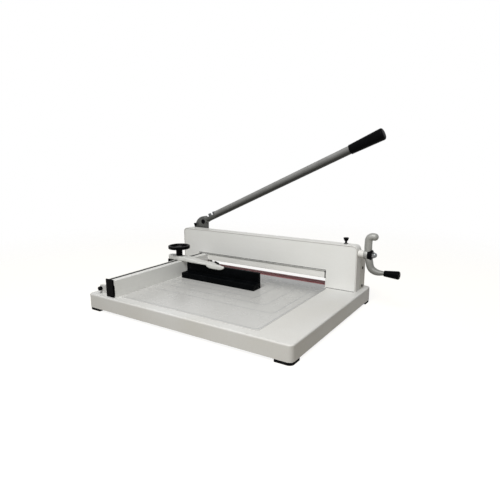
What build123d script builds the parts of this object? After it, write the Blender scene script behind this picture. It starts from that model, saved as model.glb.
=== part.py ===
"""A heavy-duty stack paper cutter: table, housing, lever knife, screw clamp, fence and back gauge.

Millimetres, +Z up, +Y towards the housing, +X to the right along the blade. The origin is the middle
of the whole machine's extent, on the plane that the feet stand on.
"""

import os
from math import cos, radians, sin

from build123d import *

# Fits between pieces that move on each other
slide_gap = 0.3
running_gap = 0.06
stand_off = 1.0

# Table: a pressed tray on four rubber feet
base_width = 600.0
base_depth = 455.0
base_height = 36.0
base_sheet = 3.0
base_corner = 12.0
base_edge = 3.5
foot_height = 7.0
foot_width = 39.5
foot_depth = 33.0
foot_inset = 0.8
foot_bevel = 0.5
post_diameter = 18.0
post_inset_x = 25.0
post_inset_y = 18.5
foot_screw_diameter = 5.0
foot_screw_reach = 12.0
foot_head_diameter = 10.0
foot_head_height = 2.6
foot_recess_diameter = 13.0
foot_recess_depth = 4.0

# Printed plate on the table
plate_fence_gap = 2.5
plate_beyond_window = 6.5
plate_setback = 25.5
plate_house_gap = 7.0
plate_thickness = 0.8
plate_corner = 5.0

# Cutting stick and the channel that holds it under the blade
stick_length = 440.0
stick_width = 24.0
stick_height = 11.0
stick_middle_inset = 291.0
stick_groove_width = 2.4
stick_groove_depth = 3.0
channel_width = 40.0
channel_floor = 8.0
channel_margin = 14.0

# Side fence, a hollow section with a slot along its top
fence_width = 30.0
fence_height = 45.0
fence_inset = 62.5
fence_setback = 13.5
fence_wall = 2.5
fence_edge = 1.6
fence_deck = 14.0
fence_slot_width = 9.0
fence_slot_depth = 4.0
fence_tee_width = 16.0
fence_tee_depth = 12.0
fence_slot_shift = -4.5
fence_into_window = 4.0
cap_thickness = 4.0
cap_overhang = 1.0
cap_right_inset = 4.5
cap_plug = 14.0
cap_edge = 1.5
fence_screw_diameter = 5.0
fence_screw_head = 9.5
fence_screw_head_height = 2.6
fence_screw_shares = (0.13, 0.5, 0.87)

# Guide rod beside the fence
rod_diameter = 8.0
rod_inset = 30.0
rod_height = 14.0
rod_front_setback = 20.0
bracket_width = 14.0
bracket_depth = 9.0
bracket_height = 22.0
bracket_edge = 2.0
rod_bracket_front = 1.0
rod_bracket_back = 3.0
rod_knob_diameter = 11.0
rod_knob_length = 9.0
rod_knob_edge = 2.0

# Housing: front shell with its inset panel
housing_inset = 78.5
housing_width = 585.0
housing_height = 122.0
shell_depth = 30.0
shell_sheet = 2.0
shell_corner = 13.0
shell_edge = 0.8
shell_flange_height = 10.0
shell_flange_thickness = 1.2
panel_gap = 1.0
panel_recess = 0.8
panel_thickness = 2.0
panel_lip = 4.0
panel_lip_thickness = 1.5
window_width = 440.5
window_height = 46.6
window_right_margin = 83.5

# Rear cover and the frame inside
rear_gap = 0.5
rear_depth = 41.0
rear_height = 113.0
rear_sheet = 1.6
rear_corner = 5.0
rear_bevel_width = 40.0
rear_bevel_height = 28.0
rear_window_left = 58.0
rear_window_right = 79.0
rear_window_height = 47.0
hub_slot_left = 4.0
hub_slot_length = 92.0
hub_slot_front = 9.0
hub_slot_depth = 20.0
cover_screw_diameter = 4.0
cover_screw_head = 8.0
cover_screw_head_height = 1.8
cover_screw_heights = (7.0, 56.0)
cover_screw_inset = 17.5
left_frame_thickness = 10.0
right_frame_thickness = 15.0
frame_top_gap = 13.5
frame_front_gap = 4.5
frame_step_height = 50.0
left_frame_step_depth = 22.0
right_frame_step_depth = 30.0
right_frame_lip_drop = 5.0
frame_foot_width = 24.0
frame_foot_height = 8.0
frame_bolt_diameter = 8.0
frame_bolt_head = 13.0
frame_bolt_head_height = 5.0
frame_bolt_setbacks = (12.0, 40.0)
rear_plate_thickness = 8.0
rear_plate_gap = 12.0
rear_plate_top_gap = 3.5
rear_plate_opening = 49.0
plate_bolt_diameter = 6.0
plate_bolt_head = 9.0
plate_bolt_head_height = 1.5
plate_bolt_reach = 14.0
plate_bolt_heights = (14.0, 40.0)
tie_rail_thickness = 2.2
tie_rail_height = 20.0
tie_rail_top_gap = 11.5

# Knife: a parallelogram of two equal cranks that carries the blade
lever_pivot_inset = 48.0
pivot_height = 99.2
pivot_spacing = 400.0
crank_radius = 75.0
crank_rest_angle = -22.0
crank_thickness = 9.0
lever_boss_radius = 20.0
lever_pin_radius = 8.0
lever_head_radius = 12.0
lever_head_height = 3.0
idler_boss_radius = 11.5
idler_pin_radius = 5.0
idler_head_radius = 7.5
idler_head_height = 2.4
link_boss_radius = 11.5
link_pin_radius = 5.0
carrier_thickness = 10.0
carrier_height = 22.0
carrier_overhang = 12.0
blade_thickness = 6.0
blade_left_overhang = 18.5
blade_right_overhang = 2.0
blade_rise = 9.0
blade_drop = 52.0
blade_bevel_height = 16.0
blade_edge_width = 0.5
blade_bolt_diameter = 6.0
blade_bolt_head = 10.0
blade_bolt_head_height = 6.0
blade_bolt_count = 6
blade_bolt_pitch = 52.0
blade_bolt_tip = 4.0

# Hand lever
lever_angle = 24.05
lever_start_shift = 13.0
lever_start_rise = 51.2
tube_diameter = 22.5
tube_wall = 2.5
tube_length = 564.0
grip_length = 92.0
grip_end_wall = 9.0
grip_small_diameter = 25.5
grip_large_diameter = 31.0
grip_round = 5.0
hub_depth = 18.0
hub_edge = 2.5
elbow_radius = 39.5
elbow_shift = 3.5
elbow_rise = 18.8
elbow_throat = 7.0
elbow_waist = 11.0
elbow_waist_rise = 20.8
hub_hole_radius = 5.0
hub_hole_rise = 41.0
neck_length = 40.0
neck_flat = 2.5
spigot_length = 46.0
lever_bolt_diameter = 6.0
lever_bolt_head = 11.0
lever_bolt_head_height = 9.5
lever_bolt_stations = (13.5, 31.5)

# Paper clamp: crank, screw, wedge slide and bar
screw_depth = 14.5
screw_height = 101.0
screw_radius = 5.0
screw_reach = 113.0
collar_radius = 9.0
collar_length = 8.0
boss_radius = 10.0
boss_reach = 14.0
boss_edge = 1.0
crank_arm_radius = 9.8
crank_throw = 43.5
crank_upper_throw = 47.0
crank_bend = 14.0
crank_bend_share = 0.98
crank_tip_share = 0.75
crank_middle_out = 10.0
crank_hub_radius = 12.5
crank_hub_length = 20.0
crank_tip_out = 23.5
crank_taper_out = 42.5
crank_taper_radius = 5.2
crank_spindle_radius = 3.5
nut_radius = 7.5
nut_length = 12.0
nut_dome = 5.0
grip_handle_length = 38.0
grip_handle_small = 7.5
grip_handle_large = 11.0
grip_handle_round = 4.0
slide_thickness = 6.0
slide_front = 21.0
slide_bottom = 58.0
slide_top = 118.5
slide_low_top = 107.0
slide_left_reach = 186.0
slide_right_reach = 236.0
slide_step_reach = 196.0
slide_slope_ratio = 1.2
drive_nut_reach = 221.0
drive_nut_length = 14.0
drive_nut_depth = 15.5
drive_nut_height = 18.0
nut_screw_radius = 1.5
nut_screw_rise = 6.8
clamp_rest = 25.0
clamp_up_travel = 17.0
clamp_down_travel = 24.5
clamp_middle_inset = 294.0
clamp_width = 404.0
clamp_foot_front = 5.0
clamp_foot_depth = 26.0
clamp_foot_height = 10.0
clamp_web_front = 5.0
clamp_web_depth = 14.0
clamp_height = 35.0
clamp_edge = 1.5
tongue_length = 10.0
tongue_front = 10.0
tongue_depth = 6.0
ear_half_width = 12.0
ear_height = 76.0
clamp_pin_reach = 150.0
clamp_pin_rise = 67.5
clamp_pin_radius = 4.0
guide_screw_reach = 60.0
guide_screw_height = 100.5
guide_screw_radius = 4.0
guide_screw_head = 6.5
guide_screw_head_height = 3.0
guide_screw_tip = 2.5
guide_post_width = 30.0
guide_post_front = 5.0
guide_post_depth = 15.5
post_gap = 2.0
guide_post_height = 80.0

# Lock plunger on the housing's top
lock_inset = 39.0
lock_depth = 21.5
plunger_radius = 3.0
plunger_drop = 12.0
plunger_rise = 11.0
lock_bush_radius = 6.0
lock_bush_drop = 8.0
lock_bush_rise = 1.2
lock_bush_edge = 0.5
lock_knob_bottom = 8.0
lock_knob_top = 16.0
lock_knob_small = 5.0
lock_knob_large = 7.5
lock_knob_edge = 1.0

# Small black knob screw in the rear cover's top
stud_inset_x = 19.0
stud_depth = 4.8
stud_shank_radius = 2.4
stud_shank_drop = 6.0
stud_head_small = 3.2
stud_head_large = 4.7
stud_head_bottom = 13.0
stud_head_top = 21.0
stud_head_edge = 0.8

# Back gauge
gauge_distance = 101.5
stop_fence_gap = 15.5
stop_length = 250.0
stop_depth = 34.0
stop_foot_height = 16.0
stop_wall = 9.0
stop_height = 43.3
stop_edge = 1.2
arm_overhang = 28.5
arm_reach = 134.0
arm_setback = 16.5
arm_width = 27.0
arm_thickness = 12.7
arm_level_length = 20.0
arm_pad_length = 72.0
arm_pad_thickness = 5.8
arm_lip_length = 56.0
arm_lip_drop = 8.0
arm_lip_slant = 4.0
arm_lip_round = 5.5
arm_tip_round = 5.0
arm_end_round = 10.0
arm_edge = 1.8
arm_slot_width = 4.0
arm_slot_front = 3.5
arm_slot_back = 5.0
arm_slot_near = 15.0
arm_slot_far = 44.0
slider_depth = 22.0
slider_foot_width = 37.0
slider_foot_bottom = 5.0
slider_foot_top = 24.0
slider_neck_width = 24.0
slider_fence_gap = 2.5
slider_edge = 1.5
slider_screw_radius = 2.0
slider_screw_reach = 6.0
shoe_length = 28.0
shoe_height = 6.0
knob_setback = 3.0
stud_radius = 4.0
wheel_radius = 32.0
wheel_height = 9.0
wheel_rise = 21.5
wheel_rim = 5.0
wheel_web = 3.5
wheel_web_drop = 3.0
wheel_hub_radius = 9.5
wheel_cap_radius = 8.0
wheel_scallops = 14
wheel_scallop_radius = 5.0
wheel_scallop_depth = 0.9
wheel_edge = 1.6
gauge_screw_radius = 2.0
gauge_screw_head = 3.6
gauge_screw_head_height = 3.0
gauge_screw_tip = 5.0
gauge_screw_drop = 4.0
gauge_screw_setbacks = (16.0, 44.0)

# Places that follow from the sizes
table_z = foot_height + base_height
crank_x_reach = housing_width + boss_reach + slide_gap
grip_x_reach = crank_x_reach + crank_middle_out + crank_taper_out + slide_gap
left_x = (cover_screw_head_height - grip_x_reach - grip_handle_length) / 2
base_middle = left_x + base_width / 2
front_y = -base_depth / 2
house_y = -front_y - housing_inset
house_right = left_x + housing_width
house_middle = left_x + housing_width / 2
house_top = table_z + housing_height
window_right = house_right - window_right_margin
window_middle = window_right - window_width / 2
shell_back = house_y + shell_depth
rear_front = shell_back + rear_gap
rear_back = rear_front + rear_depth
rear_top = table_z + rear_height
plate_y = rear_back - rear_plate_gap + stand_off / 2
crank_back = plate_y - stand_off
crank_front = crank_back - crank_thickness
carrier_y = crank_front - stand_off / 2 - carrier_thickness
blade_y = carrier_y - blade_thickness
lever_pivot_x = left_x + lever_pivot_inset
pivot_z = table_z + pivot_height
idler_pivot_x = lever_pivot_x + pivot_spacing
link_dx = crank_radius * cos(radians(crank_rest_angle))
link_dz = crank_radius * sin(radians(crank_rest_angle))
link_z = pivot_z + link_dz
left_link_x = lever_pivot_x + link_dx
right_link_x = idler_pivot_x + link_dx
lever_y = crank_back - hub_depth / 2
lever_start = (lever_pivot_x + lever_start_shift, lever_y, pivot_z + lever_start_rise)
lever_along = (cos(radians(lever_angle)), 0, sin(radians(lever_angle)))
lever_across = (-sin(radians(lever_angle)), 0, cos(radians(lever_angle)))
lever_line = Axis(lever_start, lever_along)
screw_y = house_y + screw_depth
screw_z = table_z + screw_height
screw_line = Axis((0, screw_y, screw_z), (1, 0, 0))
screw_inner_x = house_right - screw_reach
slide_y = house_y + slide_front
tie_rail_y = slide_y + slide_thickness + stand_off
tie_rail_top = house_top - tie_rail_top_gap
frame_front = house_y + frame_front_gap
frame_top = house_top - frame_top_gap
left_frame_x = left_x + shell_sheet
right_frame_x = house_right - shell_sheet - right_frame_thickness
clamp_middle = left_x + clamp_middle_inset
clamp_left = clamp_middle - clamp_width / 2
clamp_right = clamp_middle + clamp_width / 2
clamp_pin_places = (clamp_middle - clamp_pin_reach, clamp_middle + clamp_pin_reach)
guide_screw_places = (clamp_middle - guide_screw_reach, clamp_middle + guide_screw_reach)
slide_left = clamp_middle - slide_left_reach
slide_right = clamp_middle + slide_right_reach
slide_step_x = clamp_middle + slide_step_reach
drive_nut_x = clamp_middle + drive_nut_reach
clamp_z = table_z + clamp_rest
clamp_pin_z = clamp_z + clamp_pin_rise
slot_down = clamp_down_travel / slide_slope_ratio
slot_up = clamp_up_travel / slide_slope_ratio
stick_y = blade_y
stick_middle = left_x + stick_middle_inset
fence_left = left_x + fence_inset
fence_right = fence_left + fence_width
fence_middle = fence_left + fence_width / 2
fence_front = front_y + fence_setback
fence_back = house_y + fence_into_window
fence_top = table_z + fence_height
fence_screw_places = [fence_front + share * (fence_back - fence_front) for share in fence_screw_shares]
slot_x = fence_middle + fence_slot_shift
rod_x = left_x + rod_inset
rod_z = table_z + rod_height
rod_front = front_y + rod_front_setback
plate_left = fence_right + plate_fence_gap
plate_right = window_right + plate_beyond_window
plate_front = front_y + plate_setback
plate_back = house_y - plate_house_gap
stop_left = fence_right + stop_fence_gap
stop_back = house_y - gauge_distance
stop_front = stop_back - stop_depth
stop_bottom = table_z + plate_thickness + slide_gap
stop_top = stop_bottom + stop_height
upright_y = stop_back - stop_wall
arm_left = fence_left - arm_overhang
arm_tip = stop_left + arm_reach
arm_front = stop_back - arm_setback
arm_bottom = fence_top + slide_gap
arm_top = arm_bottom + arm_thickness
knob_y = stop_back - knob_setback
stem_z = arm_top + slide_gap
wheel_z = arm_top + wheel_rise
lock_x = house_right - lock_inset
lock_y = house_y + lock_depth
crank_x = left_x + crank_x_reach
crank_spine = crank_x + crank_middle_out
grip_x = left_x + grip_x_reach
idler_seat = crank_front + idler_head_height + slide_gap + stand_off / 4


def facing(y, x=0, z=0):
    """A plane that faces the user at depth y: its x is X and its y is Z."""
    return Plane(origin=(x, y, z), x_dir=(1, 0, 0), z_dir=(0, -1, 0))


def sideways(x, y=0, z=0):
    """A plane that faces right at x: its x is Y and its y is Z."""
    return Plane(origin=(x, y, z), x_dir=(0, 1, 0), z_dir=(1, 0, 0))


def level(z, x=0, y=0):
    """A level plane at height z."""
    return Plane(origin=(x, y, z))


def rod(plane, radius, length, mode=Mode.ADD):
    """A round bar from a plane along its normal."""
    with BuildSketch(plane) as outline:
        Circle(radius)
    extrude(outline.sketch, amount=length, mode=mode)


def block(left, right, front, back, bottom, top, mode=Mode.ADD):
    """A box between six faces."""
    with BuildSketch(level(bottom, (left + right) / 2, (front + back) / 2)) as outline:
        Rectangle(right - left, back - front)
    extrude(outline.sketch, amount=top - bottom, mode=mode)


def arch(plane, width, height, corner, depth, mode=Mode.ADD):
    """An upright plate that stands on its plane's origin, with round upper corners."""
    with BuildSketch(plane) as outline:
        Rectangle(width, height, align=(Align.CENTER, Align.MIN))
        fillet(outline.vertices().group_by(Axis.Y)[-1], corner)
    extrude(outline.sketch, amount=-depth, mode=mode)


def bevelled(front, left, right, top, depth, mode=Mode.ADD):
    """An upright block on the table whose upper right corner is cut off like the rear cover's."""
    with BuildSketch(facing(front)) as outline:
        with BuildLine():
            Polyline(
                (left, table_z),
                (left, top),
                (right - rear_bevel_width, top),
                (right, top - rear_bevel_height),
                (right, table_z),
                close=True,
            )
        make_face()
    extrude(outline.sketch, amount=-depth, mode=mode)


def keep(builder, label):
    """Names a finished piece and writes its file."""
    builder.part.label = label
    export_step(builder.part, f"parts/{label}.step")


os.makedirs("parts", exist_ok=True)

# Table: a tray with a rounded rim, four posts for the feet and the slot for the cutting stick
post_x = base_width / 2 - post_inset_x
post_y = base_depth / 2 - post_inset_y
post_spots = [(base_middle + sx * post_x, sy * post_y) for sx in (-1, 1) for sy in (-1, 1)]
with BuildPart() as base_shell:
    with BuildSketch(level(foot_height, base_middle)):
        RectangleRounded(base_width, base_depth, base_corner)
    extrude(amount=base_height)
    fillet(base_shell.faces().sort_by(Axis.Z)[-1].edges(), base_edge)
    with BuildSketch(level(foot_height, base_middle)):
        RectangleRounded(base_width - 2 * base_sheet, base_depth - 2 * base_sheet, base_corner - base_sheet)
    extrude(amount=base_height - base_sheet, mode=Mode.SUBTRACT)
    for x, y in post_spots:
        rod(level(foot_height, x, y), post_diameter / 2, base_height - base_sheet)
        rod(level(foot_height, x, y), foot_screw_diameter / 2, foot_screw_reach, Mode.SUBTRACT)
    with BuildSketch(level(table_z, stick_middle, stick_y)):
        Rectangle(stick_length + 2 * slide_gap, stick_width + 2 * slide_gap)
    extrude(amount=-base_sheet, mode=Mode.SUBTRACT)
    for y in fence_screw_places:
        rod(level(table_z, fence_middle, y), fence_screw_diameter / 2, -base_sheet, Mode.SUBTRACT)
    for x in (left_frame_x + left_frame_thickness, right_frame_x - frame_foot_width):
        for setback in frame_bolt_setbacks:
            spot = level(table_z, x + frame_foot_width / 2, frame_front + setback)
            rod(spot, frame_bolt_diameter / 2, -base_sheet, Mode.SUBTRACT)
keep(base_shell, "base_shell")

# Rubber feet: a block under each corner, its outer corner rounded like the table's
with BuildPart() as rubber_feet:
    for sx in (-1, 1):
        for sy in (-1, 1):
            with BuildSketch(level(0, base_middle)) as outline:
                with Locations((
                    sx * (base_width / 2 - foot_inset - foot_width / 2),
                    sy * (base_depth / 2 - foot_inset - foot_depth / 2),
                )):
                    Rectangle(foot_width, foot_depth)
                outer = outline.vertices().sort_by_distance((sx * base_width, sy * base_depth))[0]
                fillet(outer, base_corner - foot_inset)
            extrude(amount=foot_height)
    chamfer(rubber_feet.faces().filter_by(Plane.XY).group_by(Axis.Z)[0].edges(), foot_bevel)
    for x, y in post_spots:
        rod(level(0, x, y), foot_recess_diameter / 2, foot_recess_depth, Mode.SUBTRACT)
        rod(level(0, x, y), foot_screw_diameter / 2, foot_height, Mode.SUBTRACT)
keep(rubber_feet, "rubber_feet")

# Foot screws: pan heads sunk in the feet
with BuildPart() as foot_screws:
    for x, y in post_spots:
        seat = level(foot_recess_depth, x, y)
        rod(seat, foot_head_diameter / 2, -foot_head_height)
        rod(seat, foot_screw_diameter / 2, foot_height - foot_recess_depth + foot_screw_reach)
keep(foot_screws, "foot_screws")

# Printed plate that lies on the table between the fence and the window's right end
with BuildPart() as scale_plate:
    with BuildSketch(level(table_z, (plate_left + plate_right) / 2, (plate_front + plate_back) / 2)):
        RectangleRounded(plate_right - plate_left, plate_back - plate_front, plate_corner)
    extrude(amount=plate_thickness)
keep(scale_plate, "scale_plate")

# Channel under the table that carries the cutting stick
channel_left = stick_middle - stick_length / 2 - channel_margin
channel_right = stick_middle + stick_length / 2 + channel_margin
channel_top = table_z - base_sheet
stick_bottom = table_z - stick_height
with BuildPart() as bed_channel:
    block(
        channel_left,
        channel_right,
        stick_y - channel_width / 2,
        stick_y + channel_width / 2,
        stick_bottom - channel_floor,
        channel_top,
    )
    with BuildSketch(level(channel_top, stick_middle, stick_y)):
        Rectangle(stick_length + 2 * slide_gap, stick_width + 2 * slide_gap)
    extrude(amount=stick_bottom - channel_top, mode=Mode.SUBTRACT)
keep(bed_channel, "bed_channel")

# Cutting stick: a plastic bar with the groove that the blade's edge lands in
with BuildPart() as cutting_stick:
    with BuildSketch(level(stick_bottom, stick_middle, stick_y)):
        Rectangle(stick_length, stick_width)
    extrude(amount=stick_height)
    with BuildSketch(level(table_z, stick_middle, stick_y)):
        Rectangle(stick_length, stick_groove_width)
    extrude(amount=-stick_groove_depth, mode=Mode.SUBTRACT)
keep(cutting_stick, "cutting_stick")

# Side fence: a hollow section with a tee slot along its top
with BuildPart() as side_fence:
    with BuildSketch(facing(fence_front, fence_middle, table_z)) as outline:
        Rectangle(fence_width, fence_height, align=(Align.CENTER, Align.MIN))
        fillet(outline.vertices().group_by(Axis.Y)[-1], fence_edge)
        with Locations((0, fence_wall)):
            Rectangle(
                fence_width - 2 * fence_wall,
                fence_height - fence_deck - fence_wall,
                align=(Align.CENTER, Align.MIN),
                mode=Mode.SUBTRACT,
            )
        with Locations((fence_slot_shift, fence_height)):
            Rectangle(fence_slot_width, fence_tee_depth, align=(Align.CENTER, Align.MAX), mode=Mode.SUBTRACT)
        with Locations((fence_slot_shift, fence_height - fence_slot_depth)):
            Rectangle(
                fence_tee_width,
                fence_tee_depth - fence_slot_depth,
                align=(Align.CENTER, Align.MAX),
                mode=Mode.SUBTRACT,
            )
    extrude(amount=fence_front - fence_back)
    for y in fence_screw_places:
        rod(level(table_z, fence_middle, y), fence_screw_diameter / 2, fence_wall, Mode.SUBTRACT)
keep(side_fence, "side_fence")

# End cap of the fence, with a plug that sits in the hollow
with BuildPart() as fence_cap:
    with BuildSketch(facing(fence_front, fence_middle, table_z)) as outline:
        cap_width = fence_width + cap_overhang - cap_right_inset
        with Locations((-fence_width / 2 - cap_overhang, 0)):
            Rectangle(cap_width, fence_height + cap_overhang, align=(Align.MIN, Align.MIN))
    extrude(amount=cap_thickness)
    fillet(fence_cap.edges().group_by(Axis.Y)[0], cap_edge)
    with BuildSketch(facing(fence_front, fence_middle, table_z + fence_wall)):
        Rectangle(
            fence_width - 2 * fence_wall,
            fence_height - fence_deck - fence_wall,
            align=(Align.CENTER, Align.MIN),
        )
    extrude(amount=-cap_plug)
keep(fence_cap, "fence_cap")

# Fence screws: from under the table into the fence's floor
with BuildPart() as fence_screws:
    for y in fence_screw_places:
        rod(level(channel_top, fence_middle, y), fence_screw_head / 2, -fence_screw_head_height)
        rod(level(channel_top, fence_middle, y), fence_screw_diameter / 2, base_sheet + fence_wall)
keep(fence_screws, "fence_screws")

# Guide rod on the fence's left, its two brackets and the stop knob on its front end
front_bracket = rod_front + rod_bracket_front
back_bracket = house_y - rod_bracket_back - bracket_depth
with BuildPart() as guide_rod:
    rod(facing(rod_front, rod_x, rod_z), rod_diameter / 2, rod_front - back_bracket - bracket_depth)
keep(guide_rod, "guide_rod")

with BuildPart() as rod_brackets:
    for y in (front_bracket, back_bracket):
        with BuildSketch(facing(y, rod_x, table_z)) as outline:
            Rectangle(bracket_width, bracket_height, align=(Align.CENTER, Align.MIN))
            fillet(outline.vertices().group_by(Axis.Y)[-1], bracket_edge)
        extrude(amount=-bracket_depth)
        rod(facing(y, rod_x, rod_z), rod_diameter / 2, -bracket_depth, Mode.SUBTRACT)
keep(rod_brackets, "rod_brackets")

with BuildPart() as rod_knob:
    rod(facing(rod_front, rod_x, rod_z), rod_knob_diameter / 2, rod_knob_length)
    fillet(rod_knob.edges().filter_by(GeomType.CIRCLE), rod_knob_edge)
keep(rod_knob, "rod_knob")

# Front shell: the band around the housing's front, with a lip for the panel, a flange that closes the step
# to the rear cover, and holes for crank and lock
panel_y = house_y + panel_recess
lip_y = panel_y + panel_thickness
with BuildPart() as front_shell:
    arch(facing(house_y, house_middle, table_z), housing_width, housing_height, shell_corner, shell_depth)
    front_edges = front_shell.faces().sort_by(Axis.Y)[0].edges()
    fillet(front_edges.filter_by_position(Axis.Z, table_z, house_top, (False, True)), shell_edge)
    inner_corner = shell_corner - shell_sheet
    inner_width = housing_width - 2 * shell_sheet
    inner_height = housing_height - shell_sheet
    inside = facing(house_y, house_middle, table_z)
    arch(inside, inner_width, inner_height, inner_corner, shell_depth, Mode.SUBTRACT)
    arch(facing(lip_y, house_middle, table_z), inner_width, inner_height, inner_corner, panel_lip_thickness)
    arch(
        facing(lip_y, house_middle, table_z),
        inner_width - 2 * panel_lip,
        inner_height - panel_lip,
        inner_corner - panel_lip,
        panel_lip_thickness,
        Mode.SUBTRACT,
    )
    block(
        left_x + shell_corner,
        house_right - shell_corner,
        shell_back - shell_flange_thickness,
        shell_back,
        house_top - shell_flange_height,
        house_top - shell_sheet,
    )
    rod(sideways(house_right, screw_y, screw_z), boss_radius + slide_gap, -shell_corner, Mode.SUBTRACT)
    rod(level(house_top, lock_x, lock_y), lock_bush_radius, -shell_sheet, Mode.SUBTRACT)
keep(front_shell, "front_shell")

# Front panel: the plate inside the band, with the paper window
with BuildPart() as front_panel:
    arch(
        facing(panel_y, house_middle, table_z),
        inner_width - 2 * panel_gap,
        inner_height - panel_gap,
        inner_corner - panel_gap,
        panel_thickness,
    )
    with BuildSketch(facing(panel_y, window_middle, table_z)):
        Rectangle(window_width, window_height, align=(Align.CENTER, Align.MIN))
    extrude(amount=-panel_thickness, mode=Mode.SUBTRACT)
keep(front_panel, "front_panel")

# Rear cover: a lower box behind the shell, open towards it, with the paper window and the lever's slot
with BuildPart() as rear_cover:
    bevelled(rear_front, left_x, house_right, rear_top, rear_depth)
    rear_edges = rear_cover.faces().sort_by(Axis.Y)[-1].edges()
    fillet(rear_edges.filter_by_position(Axis.Z, table_z, rear_top, (False, True)), rear_corner)
    inner_right = house_right - rear_sheet
    inner_top = rear_top - rear_sheet
    bevelled(rear_front, left_x + rear_sheet, inner_right, inner_top, rear_depth - rear_sheet, Mode.SUBTRACT)
    block(
        left_x + rear_window_left,
        house_right - rear_window_right,
        rear_back - rear_sheet,
        rear_back,
        table_z,
        table_z + rear_window_height,
        Mode.SUBTRACT,
    )
    block(
        left_x + hub_slot_left,
        left_x + hub_slot_left + hub_slot_length,
        rear_front + hub_slot_front,
        rear_front + hub_slot_front + hub_slot_depth,
        rear_top - rear_sheet,
        rear_top,
        Mode.SUBTRACT,
    )
    for rise in cover_screw_heights:
        rod(
            sideways(left_x, rear_front + cover_screw_inset, table_z + rise),
            cover_screw_diameter / 2,
            housing_width,
            Mode.SUBTRACT,
        )
    stud_x = left_x + stud_inset_x
    stud_y = rear_front + stud_depth
    rod(level(rear_top, stud_x, stud_y), stud_shank_radius, -rear_sheet, Mode.SUBTRACT)
keep(rear_cover, "rear_cover")

# Left and right frames: upright plates on bolted feet
left_foot_x = left_frame_x + left_frame_thickness
with BuildPart() as left_frame:
    frame_step_z = table_z + frame_step_height
    left_step_y = plate_y - left_frame_step_depth
    block(left_frame_x, left_foot_x, frame_front, plate_y, table_z, frame_step_z)
    block(left_frame_x, left_foot_x, frame_front, left_step_y, frame_step_z, frame_top)
    foot_right = left_foot_x + frame_foot_width
    block(left_foot_x, foot_right, frame_front, plate_y, table_z, table_z + frame_foot_height)
    for setback in frame_bolt_setbacks:
        spot = level(table_z, left_foot_x + frame_foot_width / 2, frame_front + setback)
        rod(spot, frame_bolt_diameter / 2, frame_foot_height, Mode.SUBTRACT)
    for rise in cover_screw_heights[:1]:
        spot = sideways(left_frame_x, rear_front + cover_screw_inset, table_z + rise)
        rod(spot, cover_screw_diameter / 2, left_frame_thickness, Mode.SUBTRACT)
    for rise in plate_bolt_heights:
        spot = facing(plate_y, left_frame_x + left_frame_thickness / 2, table_z + rise)
        rod(spot, plate_bolt_diameter / 2, plate_bolt_reach, Mode.SUBTRACT)
keep(left_frame, "left_frame")

with BuildPart() as right_frame:
    right_edge = right_frame_x + right_frame_thickness
    right_step_y = plate_y - right_frame_step_depth
    block(right_frame_x, right_edge, frame_front, plate_y, table_z, frame_step_z)
    block(right_frame_x, right_edge, frame_front, right_step_y, frame_step_z, frame_top)
    block(
        right_frame_x - frame_foot_width,
        right_frame_x,
        frame_front,
        plate_y,
        table_z,
        table_z + frame_foot_height,
    )
    rod(sideways(right_frame_x, screw_y, screw_z), boss_radius, right_frame_thickness, Mode.SUBTRACT)
    lip_z = screw_z - right_frame_lip_drop
    block(right_frame_x, right_edge, frame_front, screw_y, lip_z, frame_top, Mode.SUBTRACT)
    for setback in frame_bolt_setbacks:
        spot = level(table_z, right_frame_x - frame_foot_width / 2, frame_front + setback)
        rod(spot, frame_bolt_diameter / 2, frame_foot_height, Mode.SUBTRACT)
    for rise in cover_screw_heights:
        spot = sideways(right_frame_x, rear_front + cover_screw_inset, table_z + rise)
        rod(spot, cover_screw_diameter / 2, right_frame_thickness, Mode.SUBTRACT)
    for rise in plate_bolt_heights:
        spot = facing(plate_y, right_frame_x + right_frame_thickness / 2, table_z + rise)
        rod(spot, plate_bolt_diameter / 2, plate_bolt_reach, Mode.SUBTRACT)
keep(right_frame, "right_frame")

# Frame bolts: through the feet of the frames and the table
with BuildPart() as frame_bolts:
    for x in (left_foot_x, right_frame_x - frame_foot_width):
        for setback in frame_bolt_setbacks:
            spot = level(channel_top, x + frame_foot_width / 2, frame_front + setback)
            rod(spot, frame_bolt_diameter / 2, base_sheet + frame_foot_height)
            with BuildSketch(spot.offset(base_sheet + frame_foot_height)):
                RegularPolygon(frame_bolt_head / 2, 6)
            extrude(amount=frame_bolt_head_height)
keep(frame_bolts, "frame_bolts")

# Rear plate: carries the two fixed pivots above the paper slot
plate_left_x = left_x + shell_sheet
plate_right_x = house_right - shell_sheet
with BuildPart() as rear_plate:
    bevelled(plate_y, plate_left_x, plate_right_x, rear_top - rear_plate_top_gap, rear_plate_thickness)
    block(
        left_x + rear_window_left,
        house_right - rear_window_right,
        plate_y,
        plate_y + rear_plate_thickness,
        table_z,
        table_z + rear_plate_opening,
        Mode.SUBTRACT,
    )
    rod(facing(plate_y, lever_pivot_x, pivot_z), lever_pin_radius, -rear_plate_thickness, Mode.SUBTRACT)
    rod(facing(plate_y, idler_pivot_x, pivot_z), idler_pin_radius, -rear_plate_thickness, Mode.SUBTRACT)
    for x in (left_frame_x + left_frame_thickness / 2, right_frame_x + right_frame_thickness / 2):
        for rise in plate_bolt_heights:
            spot = facing(plate_y, x, table_z + rise)
            rod(spot, plate_bolt_diameter / 2, -rear_plate_thickness, Mode.SUBTRACT)
keep(rear_plate, "rear_plate")

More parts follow.
